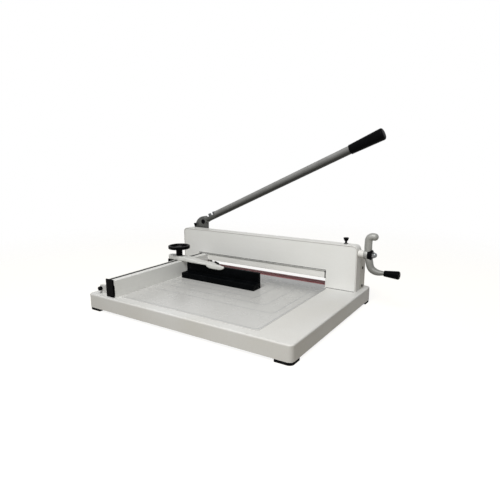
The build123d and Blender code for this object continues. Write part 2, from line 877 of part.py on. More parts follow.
# Plate bolts: from behind into the frames
plate_rear = plate_y + rear_plate_thickness
with BuildPart() as plate_bolts:
    for x in (left_frame_x + left_frame_thickness / 2, right_frame_x + right_frame_thickness / 2):
        for rise in plate_bolt_heights:
            rod(facing(plate_rear, x, table_z + rise), plate_bolt_head / 2, -plate_bolt_head_height)
            rod(
                facing(plate_rear, x, table_z + rise),
                plate_bolt_diameter / 2,
                rear_plate_thickness + plate_bolt_reach,
            )
keep(plate_bolts, "plate_bolts")

# Cover screws: through the rear cover's sides into the frames
with BuildPart() as cover_screws:
    for rise in cover_screw_heights:
        spot = sideways(house_right, rear_front + cover_screw_inset, table_z + rise)
        rod(spot, cover_screw_head / 2, cover_screw_head_height)
        rod(spot, cover_screw_diameter / 2, right_frame_x - house_right)
    left_spot = sideways(left_x, rear_front + cover_screw_inset, table_z + cover_screw_heights[0])
    rod(left_spot, cover_screw_diameter / 2, shell_sheet + left_frame_thickness)
    upper_spot = sideways(left_x, rear_front + cover_screw_inset, table_z + cover_screw_heights[1])
    rod(upper_spot, cover_screw_diameter / 2, rear_sheet)
    for spot in (left_spot, upper_spot):
        rod(spot, cover_screw_head / 2, -cover_screw_head_height)
keep(cover_screws, "cover_screws")

# Tie rail between the frames, which guides the clamp's slide
guide_z = table_z + guide_screw_height
with BuildPart() as tie_rail:
    block(
        left_foot_x,
        right_frame_x,
        tie_rail_y,
        tie_rail_y + tie_rail_thickness,
        tie_rail_top - tie_rail_height,
        tie_rail_top,
    )
    for x in guide_screw_places:
        rod(facing(tie_rail_y, x, guide_z), guide_screw_tip, -tie_rail_thickness, Mode.SUBTRACT)
keep(tie_rail, "tie_rail")

# Shoulder screws that the slide runs on
with BuildPart() as guide_screws:
    for x in guide_screw_places:
        rod(facing(slide_y - slide_gap, x, guide_z), guide_screw_head, guide_screw_head_height)
        rod(facing(tie_rail_y, x, guide_z), guide_screw_radius, slide_thickness + stand_off + slide_gap)
        rod(facing(tie_rail_y, x, guide_z), guide_screw_tip, -tie_rail_thickness)
keep(guide_screws, "guide_screws")

# Guide posts: upright grooves that the clamp bar's ends slide in
with BuildPart() as guide_posts:
    post_front = house_y + guide_post_front
    groove_front = house_y + tongue_front - slide_gap
    groove_back = house_y + tongue_front + tongue_depth + slide_gap
    post_top = table_z + guide_post_height
    for end, side in ((clamp_left, -1), (clamp_right, 1)):
        inner = end + side * post_gap
        outer = end + side * (tongue_length + slide_gap)
        far = end + side * guide_post_width
        post_back = post_front + guide_post_depth
        block(min(inner, far), max(inner, far), post_front, post_back, table_z, post_top)
        block(
            min(inner, outer),
            max(inner, outer),
            groove_front,
            groove_back,
            table_z,
            post_top,
            Mode.SUBTRACT,
        )
keep(guide_posts, "guide_posts")

# Fixed pivots of the lever and of the idler crank
with BuildPart() as lever_pivot:
    hub_front = crank_back - hub_depth
    rod(facing(plate_rear, lever_pivot_x, pivot_z), lever_pin_radius, plate_rear - hub_front + slide_gap)
    rod(facing(hub_front - slide_gap, lever_pivot_x, pivot_z), lever_head_radius, lever_head_height)
keep(lever_pivot, "lever_pivot")

with BuildPart() as idler_pivot:
    rod(facing(plate_rear, idler_pivot_x, pivot_z), idler_pin_radius, plate_rear - idler_seat + slide_gap)
    rod(facing(idler_seat - slide_gap, idler_pivot_x, pivot_z), idler_head_radius, idler_head_height)
keep(idler_pivot, "idler_pivot")

# Crank boss: the white bearing on the housing's right side
with BuildPart() as crank_boss:
    rod(sideways(right_frame_x, screw_y, screw_z), boss_radius, house_right + boss_reach - right_frame_x)
    fillet(crank_boss.edges().group_by(Axis.X)[-1], boss_edge)
    rod(
        sideways(right_frame_x, screw_y, screw_z),
        screw_radius + running_gap,
        house_right + boss_reach - right_frame_x,
        Mode.SUBTRACT,
    )
keep(crank_boss, "crank_boss")

# Lock bush in the shell's top
with BuildPart() as lock_bush:
    bush_spot = level(house_top - lock_bush_drop, lock_x, lock_y)
    bush_height = lock_bush_drop + lock_bush_rise
    rod(bush_spot, lock_bush_radius, bush_height)
    fillet(lock_bush.edges().group_by(Axis.Z)[-1], lock_bush_edge)
    rod(bush_spot, plunger_radius + running_gap, bush_height, Mode.SUBTRACT)
keep(lock_bush, "lock_bush")

# Lever hub: an elbow casting with the pivot boss, the crank arm for the knife and a spigot in the tube
lever_plane = Plane(origin=lever_start, x_dir=lever_along, z_dir=(0, -1, 0))
lever_end = Plane(origin=lever_start, x_dir=(0, 1, 0), z_dir=lever_along)
tube_end = lever_end.offset(neck_length)
pivot_spot = facing(crank_back, lever_pivot_x, pivot_z)
spigot_radius = tube_diameter / 2 - tube_wall
tube_radius = tube_diameter / 2
across_x, _, across_z = lever_across
flat_corner = (lever_start_shift + neck_flat * across_x, lever_start_rise + neck_flat * across_z)
low_corner = (lever_start_shift - tube_radius * across_x, lever_start_rise - tube_radius * across_z)
throat = (low_corner[0] - elbow_throat * across_z, low_corner[1] + elbow_throat * across_x)
with BuildPart() as lever_hub:
    with BuildSketch(pivot_spot):
        with BuildLine():
            elbow_left = (elbow_shift - elbow_radius, elbow_rise)
            elbow_top = (elbow_shift, elbow_rise + elbow_radius)
            Line((-lever_boss_radius, 0), elbow_left)
            RadiusArc(elbow_left, elbow_top, elbow_radius)
            Polyline(
                elbow_top,
                flat_corner,
                low_corner,
                throat,
                (elbow_waist, elbow_waist_rise),
                (elbow_waist, 0),
                (-lever_boss_radius, 0),
            )
        make_face()
    extrude(amount=hub_depth)
    chamfer(lever_hub.faces().filter_by(Plane.XZ).edges(), hub_edge)
    with BuildSketch(pivot_spot):
        Circle(lever_boss_radius)
    extrude(amount=hub_depth)
    with BuildSketch(pivot_spot):
        with BuildLine():
            arm_turn = radians(crank_rest_angle)
            up_x, up_z = -sin(arm_turn), cos(arm_turn)
            Polyline(
                (lever_boss_radius * up_x, lever_boss_radius * up_z),
                (-lever_boss_radius * up_x, -lever_boss_radius * up_z),
                (link_dx - link_boss_radius * up_x, link_dz - link_boss_radius * up_z),
                (link_dx + link_boss_radius * up_x, link_dz + link_boss_radius * up_z),
                close=True,
            )
        make_face()
        with Locations((link_dx, link_dz)):
            Circle(link_boss_radius)
    extrude(amount=crank_thickness)
    with BuildSketch(lever_end):
        Circle(tube_radius)
        with Locations((0, neck_flat)):
            Rectangle(tube_diameter, tube_diameter, align=(Align.CENTER, Align.MIN), mode=Mode.SUBTRACT)
    extrude(amount=neck_length)
    rod(tube_end, spigot_radius - running_gap, spigot_length)
    hole_spot = facing(crank_back, lever_pivot_x, pivot_z + hub_hole_rise)
    rod(hole_spot, hub_hole_radius, hub_depth, Mode.SUBTRACT)
    rod(pivot_spot, lever_pin_radius + running_gap, hub_depth, Mode.SUBTRACT)
    rod(facing(crank_back, left_link_x, link_z), link_pin_radius, crank_thickness, Mode.SUBTRACT)
    for station in lever_bolt_stations:
        spot = lever_line.position + station * Vector(lever_along)
        hole = Plane(origin=spot, x_dir=(0, 1, 0), z_dir=lever_across)
        rod(hole, lever_bolt_diameter / 2, tube_diameter, Mode.SUBTRACT)
        rod(hole, lever_bolt_diameter / 2, -tube_diameter, Mode.SUBTRACT)
keep(lever_hub, "lever_hub")

# Lever tube, pressed on the hub's spigot
with BuildPart() as lever_tube:
    rod(tube_end, tube_radius, tube_length)
    rod(tube_end, spigot_radius, tube_length, Mode.SUBTRACT)
keep(lever_tube, "lever_tube")

# Lever bolts: hexagon heads on the flat of the hub's neck
with BuildPart() as lever_bolts:
    for station in lever_bolt_stations:
        spot = lever_line.position + station * Vector(lever_along)
        hole = Plane(origin=spot, x_dir=(0, 1, 0), z_dir=lever_across)
        rod(hole, lever_bolt_diameter / 2, -tube_radius)
        rod(hole, lever_bolt_diameter / 2, neck_flat)
        with BuildSketch(hole.offset(neck_flat)):
            RegularPolygon(lever_bolt_head / 2, 6)
        extrude(amount=lever_bolt_head_height)
keep(lever_bolts, "lever_bolts")

# Lever grip: a tapered handle on the tube's end
with BuildPart() as lever_grip:
    grip_start = neck_length + tube_length + grip_end_wall - grip_length
    with BuildSketch(lever_plane) as outline:
        with BuildLine():
            Polyline(
                (grip_start, 0),
                (grip_start, grip_small_diameter / 2),
                (grip_start + grip_length, grip_large_diameter / 2),
                (grip_start + grip_length, 0),
                close=True,
            )
        make_face()
        fillet(outline.vertices().sort_by(Axis.X)[-2:].sort_by(Axis.Y)[-1], grip_round)
    revolve(axis=lever_line)
    rod(tube_end, tube_radius, tube_length, Mode.SUBTRACT)
keep(lever_grip, "lever_grip")

# Link pins: pressed into the cranks, running in the blade carrier
for label, x in (("lever_link_pin", left_link_x), ("idler_link_pin", right_link_x)):
    with BuildPart() as link_pin:
        rod(facing(crank_back, x, link_z), link_pin_radius, crank_back - carrier_y - slide_gap)
    keep(link_pin, label)

# Idler crank: the right link of the parallelogram
with BuildPart() as idler_crank:
    with BuildSketch(facing(crank_back, idler_pivot_x, pivot_z)):
        Circle(idler_boss_radius)
        with BuildLine():
            Polyline(
                (idler_boss_radius * up_x, idler_boss_radius * up_z),
                (-idler_boss_radius * up_x, -idler_boss_radius * up_z),
                (link_dx - link_boss_radius * up_x, link_dz - link_boss_radius * up_z),
                (link_dx + link_boss_radius * up_x, link_dz + link_boss_radius * up_z),
                close=True,
            )
        make_face()
        with Locations((link_dx, link_dz)):
            Circle(link_boss_radius)
    extrude(amount=crank_thickness)
    idler_spot = facing(crank_back, idler_pivot_x, pivot_z)
    rod(idler_spot, idler_pin_radius + running_gap, crank_thickness, Mode.SUBTRACT)
    sunk_spot = facing(idler_seat, idler_pivot_x, pivot_z)
    rod(sunk_spot, idler_head_radius + slide_gap, crank_thickness, Mode.SUBTRACT)
    rod(facing(crank_back, right_link_x, link_z), link_pin_radius, crank_thickness, Mode.SUBTRACT)
keep(idler_crank, "idler_crank")

# Blade carrier: the bar that both cranks lift
bolt_first = (left_link_x + right_link_x) / 2 - blade_bolt_pitch * (blade_bolt_count - 1) / 2
bolt_places = [bolt_first + blade_bolt_pitch * k for k in range(blade_bolt_count)]
with BuildPart() as blade_carrier:
    block(
        left_link_x - carrier_overhang,
        right_link_x + carrier_overhang,
        carrier_y,
        carrier_y + carrier_thickness,
        link_z - carrier_height / 2,
        link_z + carrier_height / 2,
    )
    for x in (left_link_x, right_link_x):
        rod(facing(carrier_y, x, link_z), link_pin_radius + running_gap, -carrier_thickness, Mode.SUBTRACT)
    for x in bolt_places:
        rod(facing(carrier_y, x, link_z), blade_bolt_diameter / 2, -carrier_thickness, Mode.SUBTRACT)
        sunk_spot = facing(carrier_y + carrier_thickness, x, link_z)
        rod(sunk_spot, blade_bolt_head / 2 + slide_gap, blade_bolt_head_height, Mode.SUBTRACT)
keep(blade_carrier, "blade_carrier")

# Blade: flat towards the clamp, ground to an edge behind
with BuildPart() as blade:
    with BuildSketch(sideways(left_link_x - blade_left_overhang, blade_y, link_z)):
        with BuildLine():
            Polyline(
                (0, -blade_drop),
                (0, blade_rise),
                (blade_thickness, blade_rise),
                (blade_thickness, blade_bevel_height - blade_drop),
                (blade_edge_width, -blade_drop),
                close=True,
            )
        make_face()
    extrude(amount=pivot_spacing + blade_left_overhang + blade_right_overhang)
    for x in bolt_places:
        rod(facing(carrier_y, x, link_z), blade_bolt_diameter / 2, blade_bolt_tip, Mode.SUBTRACT)
keep(blade, "blade")

# Blade bolts: from behind, with round heads sunk in the carrier
with BuildPart() as blade_bolts:
    for x in bolt_places:
        head_spot = facing(carrier_y + carrier_thickness, x, link_z)
        rod(head_spot, blade_bolt_head / 2, blade_bolt_head_height)
        rod(
            facing(carrier_y + carrier_thickness, x, link_z),
            blade_bolt_diameter / 2,
            carrier_thickness + blade_bolt_tip,
        )
keep(blade_bolts, "blade_bolts")

# Clamp screw, its inner collar and the crank with its cap nut
with BuildPart() as clamp_screw:
    rod(sideways(screw_inner_x, screw_y, screw_z), screw_radius, crank_x + crank_hub_length - screw_inner_x)
keep(clamp_screw, "clamp_screw")

with BuildPart() as screw_collar:
    collar_x = right_frame_x - slide_gap - collar_length
    rod(sideways(collar_x, screw_y, screw_z), collar_radius, collar_length)
    rod(sideways(collar_x, screw_y, screw_z), screw_radius, collar_length, Mode.SUBTRACT)
keep(screw_collar, "screw_collar")

with BuildPart() as clamp_crank:
    crank_plane = facing(screw_y, crank_spine, screw_z)
    with BuildLine(crank_plane) as crank_line:
        FilletPolyline(
            (crank_bend, crank_upper_throw),
            (0, crank_upper_throw),
            (0, -crank_throw),
            (crank_bend, -crank_throw),
            radius=crank_bend * crank_bend_share,
        )
    with BuildSketch(Plane(origin=crank_line.line @ 0, z_dir=crank_line.line % 0)):
        Circle(crank_arm_radius)
    sweep(path=crank_line.line)
    with BuildSketch(crank_plane) as outline:
        with BuildLine():
            Polyline(
                (crank_bend, crank_upper_throw),
                (crank_bend, crank_upper_throw + crank_arm_radius),
                (crank_tip_out, crank_upper_throw + crank_arm_radius),
                (crank_tip_out, crank_upper_throw),
                close=True,
            )
        make_face()
        tip_corner = outline.vertices().sort_by(Axis.X)[-2:].sort_by(Axis.Y)[-1]
        fillet(tip_corner, crank_arm_radius * crank_tip_share)
    revolve(axis=Axis((0, screw_y, screw_z + crank_upper_throw), (1, 0, 0)))
    with BuildSketch(crank_plane):
        with BuildLine():
            Polyline(
                (crank_bend, -crank_throw),
                (crank_bend, crank_arm_radius - crank_throw),
                (crank_taper_out, crank_taper_radius - crank_throw),
                (crank_taper_out, crank_spindle_radius - crank_throw),
                (crank_taper_out + grip_handle_length, crank_spindle_radius - crank_throw),
                (crank_taper_out + grip_handle_length, -crank_throw),
                close=True,
            )
        make_face()
    revolve(axis=Axis((0, screw_y, screw_z - crank_throw), (1, 0, 0)))
    rod(sideways(crank_x, screw_y, screw_z), crank_hub_radius, crank_hub_length)
    rod(sideways(crank_x, screw_y, screw_z), screw_radius, crank_hub_length, Mode.SUBTRACT)
keep(clamp_crank, "clamp_crank")

with BuildPart() as crank_nut:
    nut_plane = facing(screw_y, crank_x + crank_hub_length, screw_z)
    with BuildSketch(nut_plane) as outline:
        with BuildLine():
            Polyline(
                (0, 0),
                (0, nut_radius),
                (nut_length - nut_dome, nut_radius),
                (nut_length, nut_radius - nut_dome),
                (nut_length, 0),
                close=True,
            )
        make_face()
    revolve(axis=screw_line)
keep(crank_nut, "crank_nut")

# Crank grip: turns on the crank's spindle
with BuildPart() as crank_grip:
    with BuildSketch(facing(screw_y, grip_x, screw_z - crank_throw)) as outline:
        with BuildLine():
            Polyline(
                (0, 0),
                (0, grip_handle_small),
                (grip_handle_length, grip_handle_large),
                (grip_handle_length, 0),
                close=True,
            )
        make_face()
        fillet(outline.vertices().sort_by(Axis.Y)[-2:].sort_by(Axis.X)[-1], grip_handle_round)
    revolve(axis=Axis((0, screw_y, screw_z - crank_throw), (1, 0, 0)))
    rod(
        sideways(grip_x, screw_y, screw_z - crank_throw),
        crank_spindle_radius + running_gap,
        grip_handle_length,
        Mode.SUBTRACT,
    )
keep(crank_grip, "crank_grip")

# Slide plate: two slanted slots push the clamp bar, two level slots guide the plate
nut_z = screw_z
with BuildPart() as slide_plate:
    slide_rear = slide_y + slide_thickness
    slide_z = table_z + slide_bottom
    block(slide_left, slide_step_x, slide_y, slide_rear, slide_z, table_z + slide_top)
    block(slide_step_x, slide_right, slide_y, slide_rear, slide_z, table_z + slide_low_top)
    for x in clamp_pin_places:
        with BuildSketch(facing(slide_y, x, clamp_pin_z)):
            SlotCenterPoint(
                ((slot_up - slot_down) / 2, (clamp_up_travel - clamp_down_travel) / 2),
                (slot_up, clamp_up_travel),
                2 * (clamp_pin_radius + slide_gap),
            )
        extrude(amount=-slide_thickness, mode=Mode.SUBTRACT)
    for x in guide_screw_places:
        with BuildSketch(facing(slide_y, x + (slot_up - slot_down) / 2, guide_z)):
            SlotCenterToCenter(slot_up + slot_down, 2 * (guide_screw_radius + slide_gap))
        extrude(amount=-slide_thickness, mode=Mode.SUBTRACT)
    for side in (-1, 1):
        spot = facing(slide_y, drive_nut_x, nut_z + side * nut_screw_rise)
        rod(spot, nut_screw_radius, -slide_thickness, Mode.SUBTRACT)
keep(slide_plate, "slide_plate")

# Drive nut on the slide and its two screws
with BuildPart() as drive_nut:
    block(
        drive_nut_x - drive_nut_length / 2,
        drive_nut_x + drive_nut_length / 2,
        slide_y - drive_nut_depth,
        slide_y,
        nut_z - drive_nut_height / 2,
        nut_z + drive_nut_height / 2,
    )
    nut_left = sideways(drive_nut_x - drive_nut_length / 2, screw_y, screw_z)
    rod(nut_left, screw_radius + running_gap, drive_nut_length, Mode.SUBTRACT)
    for side in (-1, 1):
        spot = facing(slide_y, drive_nut_x, nut_z + side * nut_screw_rise)
        rod(spot, nut_screw_radius, drive_nut_depth, Mode.SUBTRACT)
keep(drive_nut, "drive_nut")

with BuildPart() as nut_screws:
    for side in (-1, 1):
        spot = facing(slide_y + slide_thickness, drive_nut_x, nut_z + side * nut_screw_rise)
        rod(spot, nut_screw_radius, slide_thickness + drive_nut_depth)
keep(nut_screws, "nut_screws")

# Clamp bar: a foot, a web, two ears for the pins and a tongue at each end
with BuildPart() as clamp_bar:
    foot_y = house_y + clamp_foot_front
    web_y = house_y + clamp_web_front
    block(clamp_left, clamp_right, foot_y, foot_y + clamp_foot_depth, clamp_z, clamp_z + clamp_foot_height)
    block(clamp_left, clamp_right, web_y, web_y + clamp_web_depth, clamp_z, clamp_z + clamp_height)
    fillet(clamp_bar.edges().filter_by(Axis.X).group_by(Axis.Z)[0], clamp_edge)
    tongue_y = house_y + tongue_front
    block(
        clamp_left - tongue_length,
        clamp_right + tongue_length,
        tongue_y,
        tongue_y + tongue_depth,
        clamp_z + clamp_edge,
        clamp_z + clamp_height,
    )
    for x in clamp_pin_places:
        ear_left = x - ear_half_width
        ear_right = x + ear_half_width
        block(ear_left, ear_right, web_y, web_y + clamp_web_depth, clamp_z, clamp_z + ear_height)
        rod(facing(web_y, x, clamp_pin_z), clamp_pin_radius, -clamp_web_depth, Mode.SUBTRACT)
keep(clamp_bar, "clamp_bar")

with BuildPart() as clamp_pins:
    for x in clamp_pin_places:
        rod(facing(web_y, x, clamp_pin_z), clamp_pin_radius, web_y - tie_rail_y + stand_off / 2)
keep(clamp_pins, "clamp_pins")

# Lock plunger and its knob
with BuildPart() as lock_plunger:
    rod(level(house_top - plunger_drop, lock_x, lock_y), plunger_radius, plunger_drop + plunger_rise)
keep(lock_plunger, "lock_plunger")

with BuildPart() as lock_knob:
    with BuildSketch(facing(lock_y, lock_x, house_top)) as outline:
        with BuildLine():
            Polyline(
                (0, lock_knob_bottom),
                (lock_knob_small, lock_knob_bottom),
                (lock_knob_large, lock_knob_top),
                (0, lock_knob_top),
                close=True,
            )
        make_face()
        fillet(outline.vertices().sort_by(Axis.X)[-2:], lock_knob_edge)
    revolve(axis=Axis((lock_x, lock_y, 0), (0, 0, 1)))
    rod(level(house_top, lock_x, lock_y), plunger_radius, plunger_rise, Mode.SUBTRACT)
keep(lock_knob, "lock_knob")

# Knob screw in the rear cover's top, beside the lever's slot
with BuildPart() as cover_stud:
    rod(
        level(rear_top - stud_shank_drop, stud_x, stud_y),
        stud_shank_radius,
        stud_shank_drop + stud_head_bottom,
    )
    with BuildSketch(facing(stud_y, stud_x, rear_top)) as outline:
        with BuildLine():
            Polyline(
                (0, stud_head_bottom),
                (stud_head_small, stud_head_bottom),
                (stud_head_large, stud_head_top),
                (0, stud_head_top),
                close=True,
            )
        make_face()
        fillet(outline.vertices().sort_by(Axis.X)[-2:], stud_head_edge)
    revolve(axis=Axis((stud_x, stud_y, 0), (0, 0, 1)))
keep(cover_stud, "cover_stud")

# Gauge stop: the black angle that the paper is pushed against
with BuildPart() as gauge_stop:
    with BuildSketch(sideways(stop_left)) as outline:
        with BuildLine():
            Polyline(
                (stop_front, stop_bottom),
                (stop_back, stop_bottom),
                (stop_back, stop_top),
                (stop_back - stop_wall, stop_top),
                (stop_back - stop_wall, stop_bottom + stop_foot_height),
                (stop_front, stop_bottom + stop_foot_height),
                close=True,
            )
        make_face()
        fillet(outline.vertices(), stop_edge)
    extrude(amount=stop_length)
    for setback in gauge_screw_setbacks:
        spot = facing(stop_back, arm_tip - setback, stop_top - gauge_screw_drop)
        rod(spot, gauge_screw_head, gauge_screw_head_height, Mode.SUBTRACT)
        rod(spot, gauge_screw_radius, stop_wall, Mode.SUBTRACT)
keep(gauge_stop, "gauge_stop")

# Gauge arm: a casting over fence and stop that thins towards a pad, whose lip hangs in front of the stop
pad_top = stop_top + arm_pad_thickness
lip_bottom = stop_top - arm_lip_drop
lip_left = arm_tip - arm_lip_length
with BuildPart() as gauge_arm:
    with BuildSketch(facing(arm_front)):
        with BuildLine():
            Polyline(
                (arm_left, arm_bottom),
                (arm_left, arm_top),
                (slot_x + arm_level_length, arm_top),
                (arm_tip - arm_pad_length, pad_top),
                (arm_tip, pad_top),
                (arm_tip, stop_top),
                (stop_left, stop_top),
                (stop_left, arm_bottom),
                close=True,
            )
        make_face()
    extrude(amount=-arm_width)
    upright = gauge_arm.edges().filter_by(Axis.Z)
    fillet(upright.group_by(Axis.X)[-1], arm_tip_round)
    fillet(gauge_arm.edges().filter_by(Axis.Z).group_by(Axis.X)[0], arm_end_round)
    fillet(gauge_arm.faces().filter_by(Plane.XY).sort_by(Axis.Z)[-1].edges(), arm_edge)
    with BuildSketch(facing(arm_front)) as lip:
        with BuildLine():
            Polyline(
                (lip_left, stop_top),
                (lip_left + arm_lip_slant, lip_bottom),
                (arm_tip - arm_tip_round, lip_bottom),
                (arm_tip - arm_tip_round, stop_top),
                close=True,
            )
        make_face()
        fillet(lip.vertices().group_by(Axis.Y)[0], arm_lip_round)
    extrude(amount=arm_front - upright_y)
    rod(level(arm_bottom, slot_x, knob_y), stud_radius + running_gap, arm_thickness, Mode.SUBTRACT)
    with BuildSketch(level(stop_top)):
        slot_near = (arm_tip - arm_slot_near, arm_front + arm_slot_front)
        slot_far = (arm_tip - arm_slot_far, arm_front + arm_width - arm_slot_back)
        middle = ((slot_near[0] + slot_far[0]) / 2, (slot_near[1] + slot_far[1]) / 2)
        SlotCenterPoint(middle, slot_far, arm_slot_width)
    extrude(amount=arm_pad_thickness, mode=Mode.SUBTRACT)
    for setback in gauge_screw_setbacks:
        spot = facing(upright_y, arm_tip - setback, stop_top - gauge_screw_drop)
        rod(spot, gauge_screw_radius, gauge_screw_tip, Mode.SUBTRACT)
    slider_neck_right = fence_left - slider_fence_gap
    slider_screw_x = slider_neck_right - slider_neck_width / 2
    rod(level(arm_bottom, slider_screw_x, knob_y), slider_screw_radius, slider_screw_reach, Mode.SUBTRACT)
keep(gauge_arm, "gauge_arm")

# Gauge slider: the black block under the arm's end that runs on the guide rod
with BuildPart() as gauge_slider:
    slider_y = knob_y - slider_depth / 2
    slider_foot_left = slider_neck_right - slider_foot_width
    with BuildSketch(facing(slider_y)) as outline:
        with BuildLine():
            Polyline(
                (slider_foot_left, table_z + slider_foot_bottom),
                (slider_foot_left, table_z + slider_foot_top),
                (slider_neck_right - slider_neck_width, table_z + slider_foot_top),
                (slider_neck_right - slider_neck_width, arm_bottom),
                (slider_neck_right, arm_bottom),
                (slider_neck_right, table_z + slider_foot_bottom),
                close=True,
            )
        make_face()
        fillet(outline.vertices().group_by(Axis.X)[0], slider_edge)
    extrude(amount=-slider_depth)
    rod(facing(slider_y, rod_x, rod_z), rod_diameter / 2 + running_gap, -slider_depth, Mode.SUBTRACT)
    screw_spot = level(table_z + slider_foot_bottom, slider_screw_x, knob_y)
    rod(screw_spot, slider_screw_radius, fence_height, Mode.SUBTRACT)
keep(gauge_slider, "gauge_slider")

# Gauge screws: sunk in the stop's rear face and in the slider's underside
with BuildPart() as gauge_screws:
    for setback in gauge_screw_setbacks:
        spot = facing(stop_back, arm_tip - setback, stop_top - gauge_screw_drop)
        rod(spot, gauge_screw_head, gauge_screw_head_height)
        rod(spot, gauge_screw_radius, stop_wall + gauge_screw_tip)
    rod(screw_spot, slider_screw_radius, arm_bottom + slider_screw_reach - table_z - slider_foot_bottom)
keep(gauge_screws, "gauge_screws")

# Gauge shoe: the tee nut in the fence's slot
shoe_top = fence_top - fence_slot_depth - slide_gap
with BuildPart() as gauge_shoe:
    block(
        slot_x - fence_tee_width / 2 + slide_gap,
        slot_x + fence_tee_width / 2 - slide_gap,
        knob_y - shoe_length / 2,
        knob_y + shoe_length / 2,
        shoe_top - shoe_height,
        shoe_top,
    )
    block(
        slot_x - fence_slot_width / 2 + slide_gap,
        slot_x + fence_slot_width / 2 - slide_gap,
        arm_front,
        knob_y + shoe_length / 2,
        shoe_top - shoe_height,
        arm_bottom,
    )
    shoe_floor = level(shoe_top - shoe_height, slot_x, knob_y)
    rod(shoe_floor, stud_radius + running_gap, fence_height, Mode.SUBTRACT)
keep(gauge_shoe, "gauge_shoe")

# Gauge handwheel: a dished wheel with a scalloped rim on a short stem
with BuildPart() as gauge_knob:
    with BuildSketch(facing(knob_y, slot_x)) as outline:
        with BuildLine():
            Polyline(
                (0, stem_z),
                (wheel_hub_radius, stem_z),
                (wheel_hub_radius, wheel_z),
                (wheel_radius, wheel_z),
                (wheel_radius, wheel_z + wheel_height),
                (wheel_radius - wheel_rim, wheel_z + wheel_height),
                (wheel_radius - wheel_rim - wheel_web_drop, wheel_z + wheel_web),
                (wheel_cap_radius + wheel_web_drop, wheel_z + wheel_web),
                (wheel_cap_radius, wheel_z + wheel_height - wheel_web_drop),
                (0, wheel_z + wheel_height - wheel_web_drop),
                close=True,
            )
        make_face()
        fillet(outline.vertices().sort_by(Axis.X)[-2:], wheel_edge)
    revolve(axis=Axis((slot_x, knob_y, 0), (0, 0, 1)))
    with BuildSketch(level(wheel_z, slot_x, knob_y)):
        with PolarLocations(wheel_radius + wheel_scallop_radius - wheel_scallop_depth, wheel_scallops):
            Circle(wheel_scallop_radius)
    extrude(amount=wheel_height, mode=Mode.SUBTRACT)
    rod(level(stem_z, slot_x, knob_y), stud_radius, wheel_rise, Mode.SUBTRACT)
keep(gauge_knob, "gauge_knob")

with BuildPart() as gauge_stud:
    stud_bottom = shoe_top - shoe_height
    rod(level(stud_bottom, slot_x, knob_y), stud_radius, stem_z + wheel_rise - stud_bottom)
keep(gauge_stud, "gauge_stud")
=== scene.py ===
"""A stack paper cutter, dressed piece by piece in the order in which it is put together."""
import math

import bpy
import numpy as np
from mathutils import Matrix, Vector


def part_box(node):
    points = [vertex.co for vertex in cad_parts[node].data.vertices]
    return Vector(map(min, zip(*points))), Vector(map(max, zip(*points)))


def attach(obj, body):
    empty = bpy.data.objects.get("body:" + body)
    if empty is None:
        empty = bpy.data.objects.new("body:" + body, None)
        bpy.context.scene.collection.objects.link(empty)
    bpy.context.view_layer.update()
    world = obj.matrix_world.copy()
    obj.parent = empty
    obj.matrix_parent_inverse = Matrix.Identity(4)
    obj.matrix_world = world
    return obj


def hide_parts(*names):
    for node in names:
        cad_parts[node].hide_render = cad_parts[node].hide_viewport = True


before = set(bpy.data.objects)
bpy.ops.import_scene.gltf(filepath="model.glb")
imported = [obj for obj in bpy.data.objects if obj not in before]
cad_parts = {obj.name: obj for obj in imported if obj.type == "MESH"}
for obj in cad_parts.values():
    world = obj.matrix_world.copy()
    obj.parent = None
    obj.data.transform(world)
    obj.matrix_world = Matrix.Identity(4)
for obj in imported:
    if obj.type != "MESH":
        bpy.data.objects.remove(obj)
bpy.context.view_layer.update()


# The table tray: one deep pressing of sheet steel with a rounded rim and posts for the feet.
# It is baked in a warm grey-white powder coat, slightly rough, and everything else is mounted on it.

# Mix nodes blend colours here, and most of a noise texture's values lie in this span.
colours = {"data_type": "RGBA"}
noise_span = {1: 0.3, 2: 0.7}


def linear(shade):
    """An sRGB hex colour as linear RGBA: the standard curve, straight near black and a 2.4 power above."""
    level = np.array([int(shade[i:i + 2], 16) for i in (0, 2, 4)]) / 255
    level = np.where(level <= 0.04045, level / 12.92, ((level + 0.055) / 1.055) ** 2.4)
    return (*level.tolist(), 1.0)


def add(tree, kind, settings=(), inputs=()):
    """Adds one shader node with its settings; each input, by name or number, takes a value or an output."""
    made = tree.nodes.new(kind)
    for name, value in dict(settings).items():
        setattr(made, name, value)
    for socket, value in dict(inputs).items():
        if isinstance(value, bpy.types.NodeSocket):
            tree.links.new(value, made.inputs[socket])
        else:
            made.inputs[socket].default_value = value
    return made


def new_finish(name, even):
    """Starts a finish from the sockets that are the same all over it.
    Gives the material, its nodes, its shader and the piece's own place in metres."""
    finish = bpy.data.materials.new(name)
    finish.use_nodes = True
    tree = finish.node_tree
    shader = tree.nodes["Principled BSDF"]
    for socket, value in even.items():
        shader.inputs[socket].default_value = value
    return finish, tree, shader, add(tree, "ShaderNodeTexCoord").outputs["Object"]


def couple(tree, shader, tint, sheen, skin=None):
    """Links a finish's colour, its roughness and, where it has one, its uneven skin to the shader."""
    tree.links.new(tint.outputs[2], shader.inputs["Base Color"])
    tree.links.new(sheen.outputs[0], shader.inputs["Roughness"])
    if skin:
        tree.links.new(skin.outputs[0], shader.inputs["Normal"])


def dress(finish, *nodes):
    """Puts a finish on CAD nodes, in every slot that they have."""
    for node in nodes:
        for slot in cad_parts[node].material_slots:
            slot.material = finish


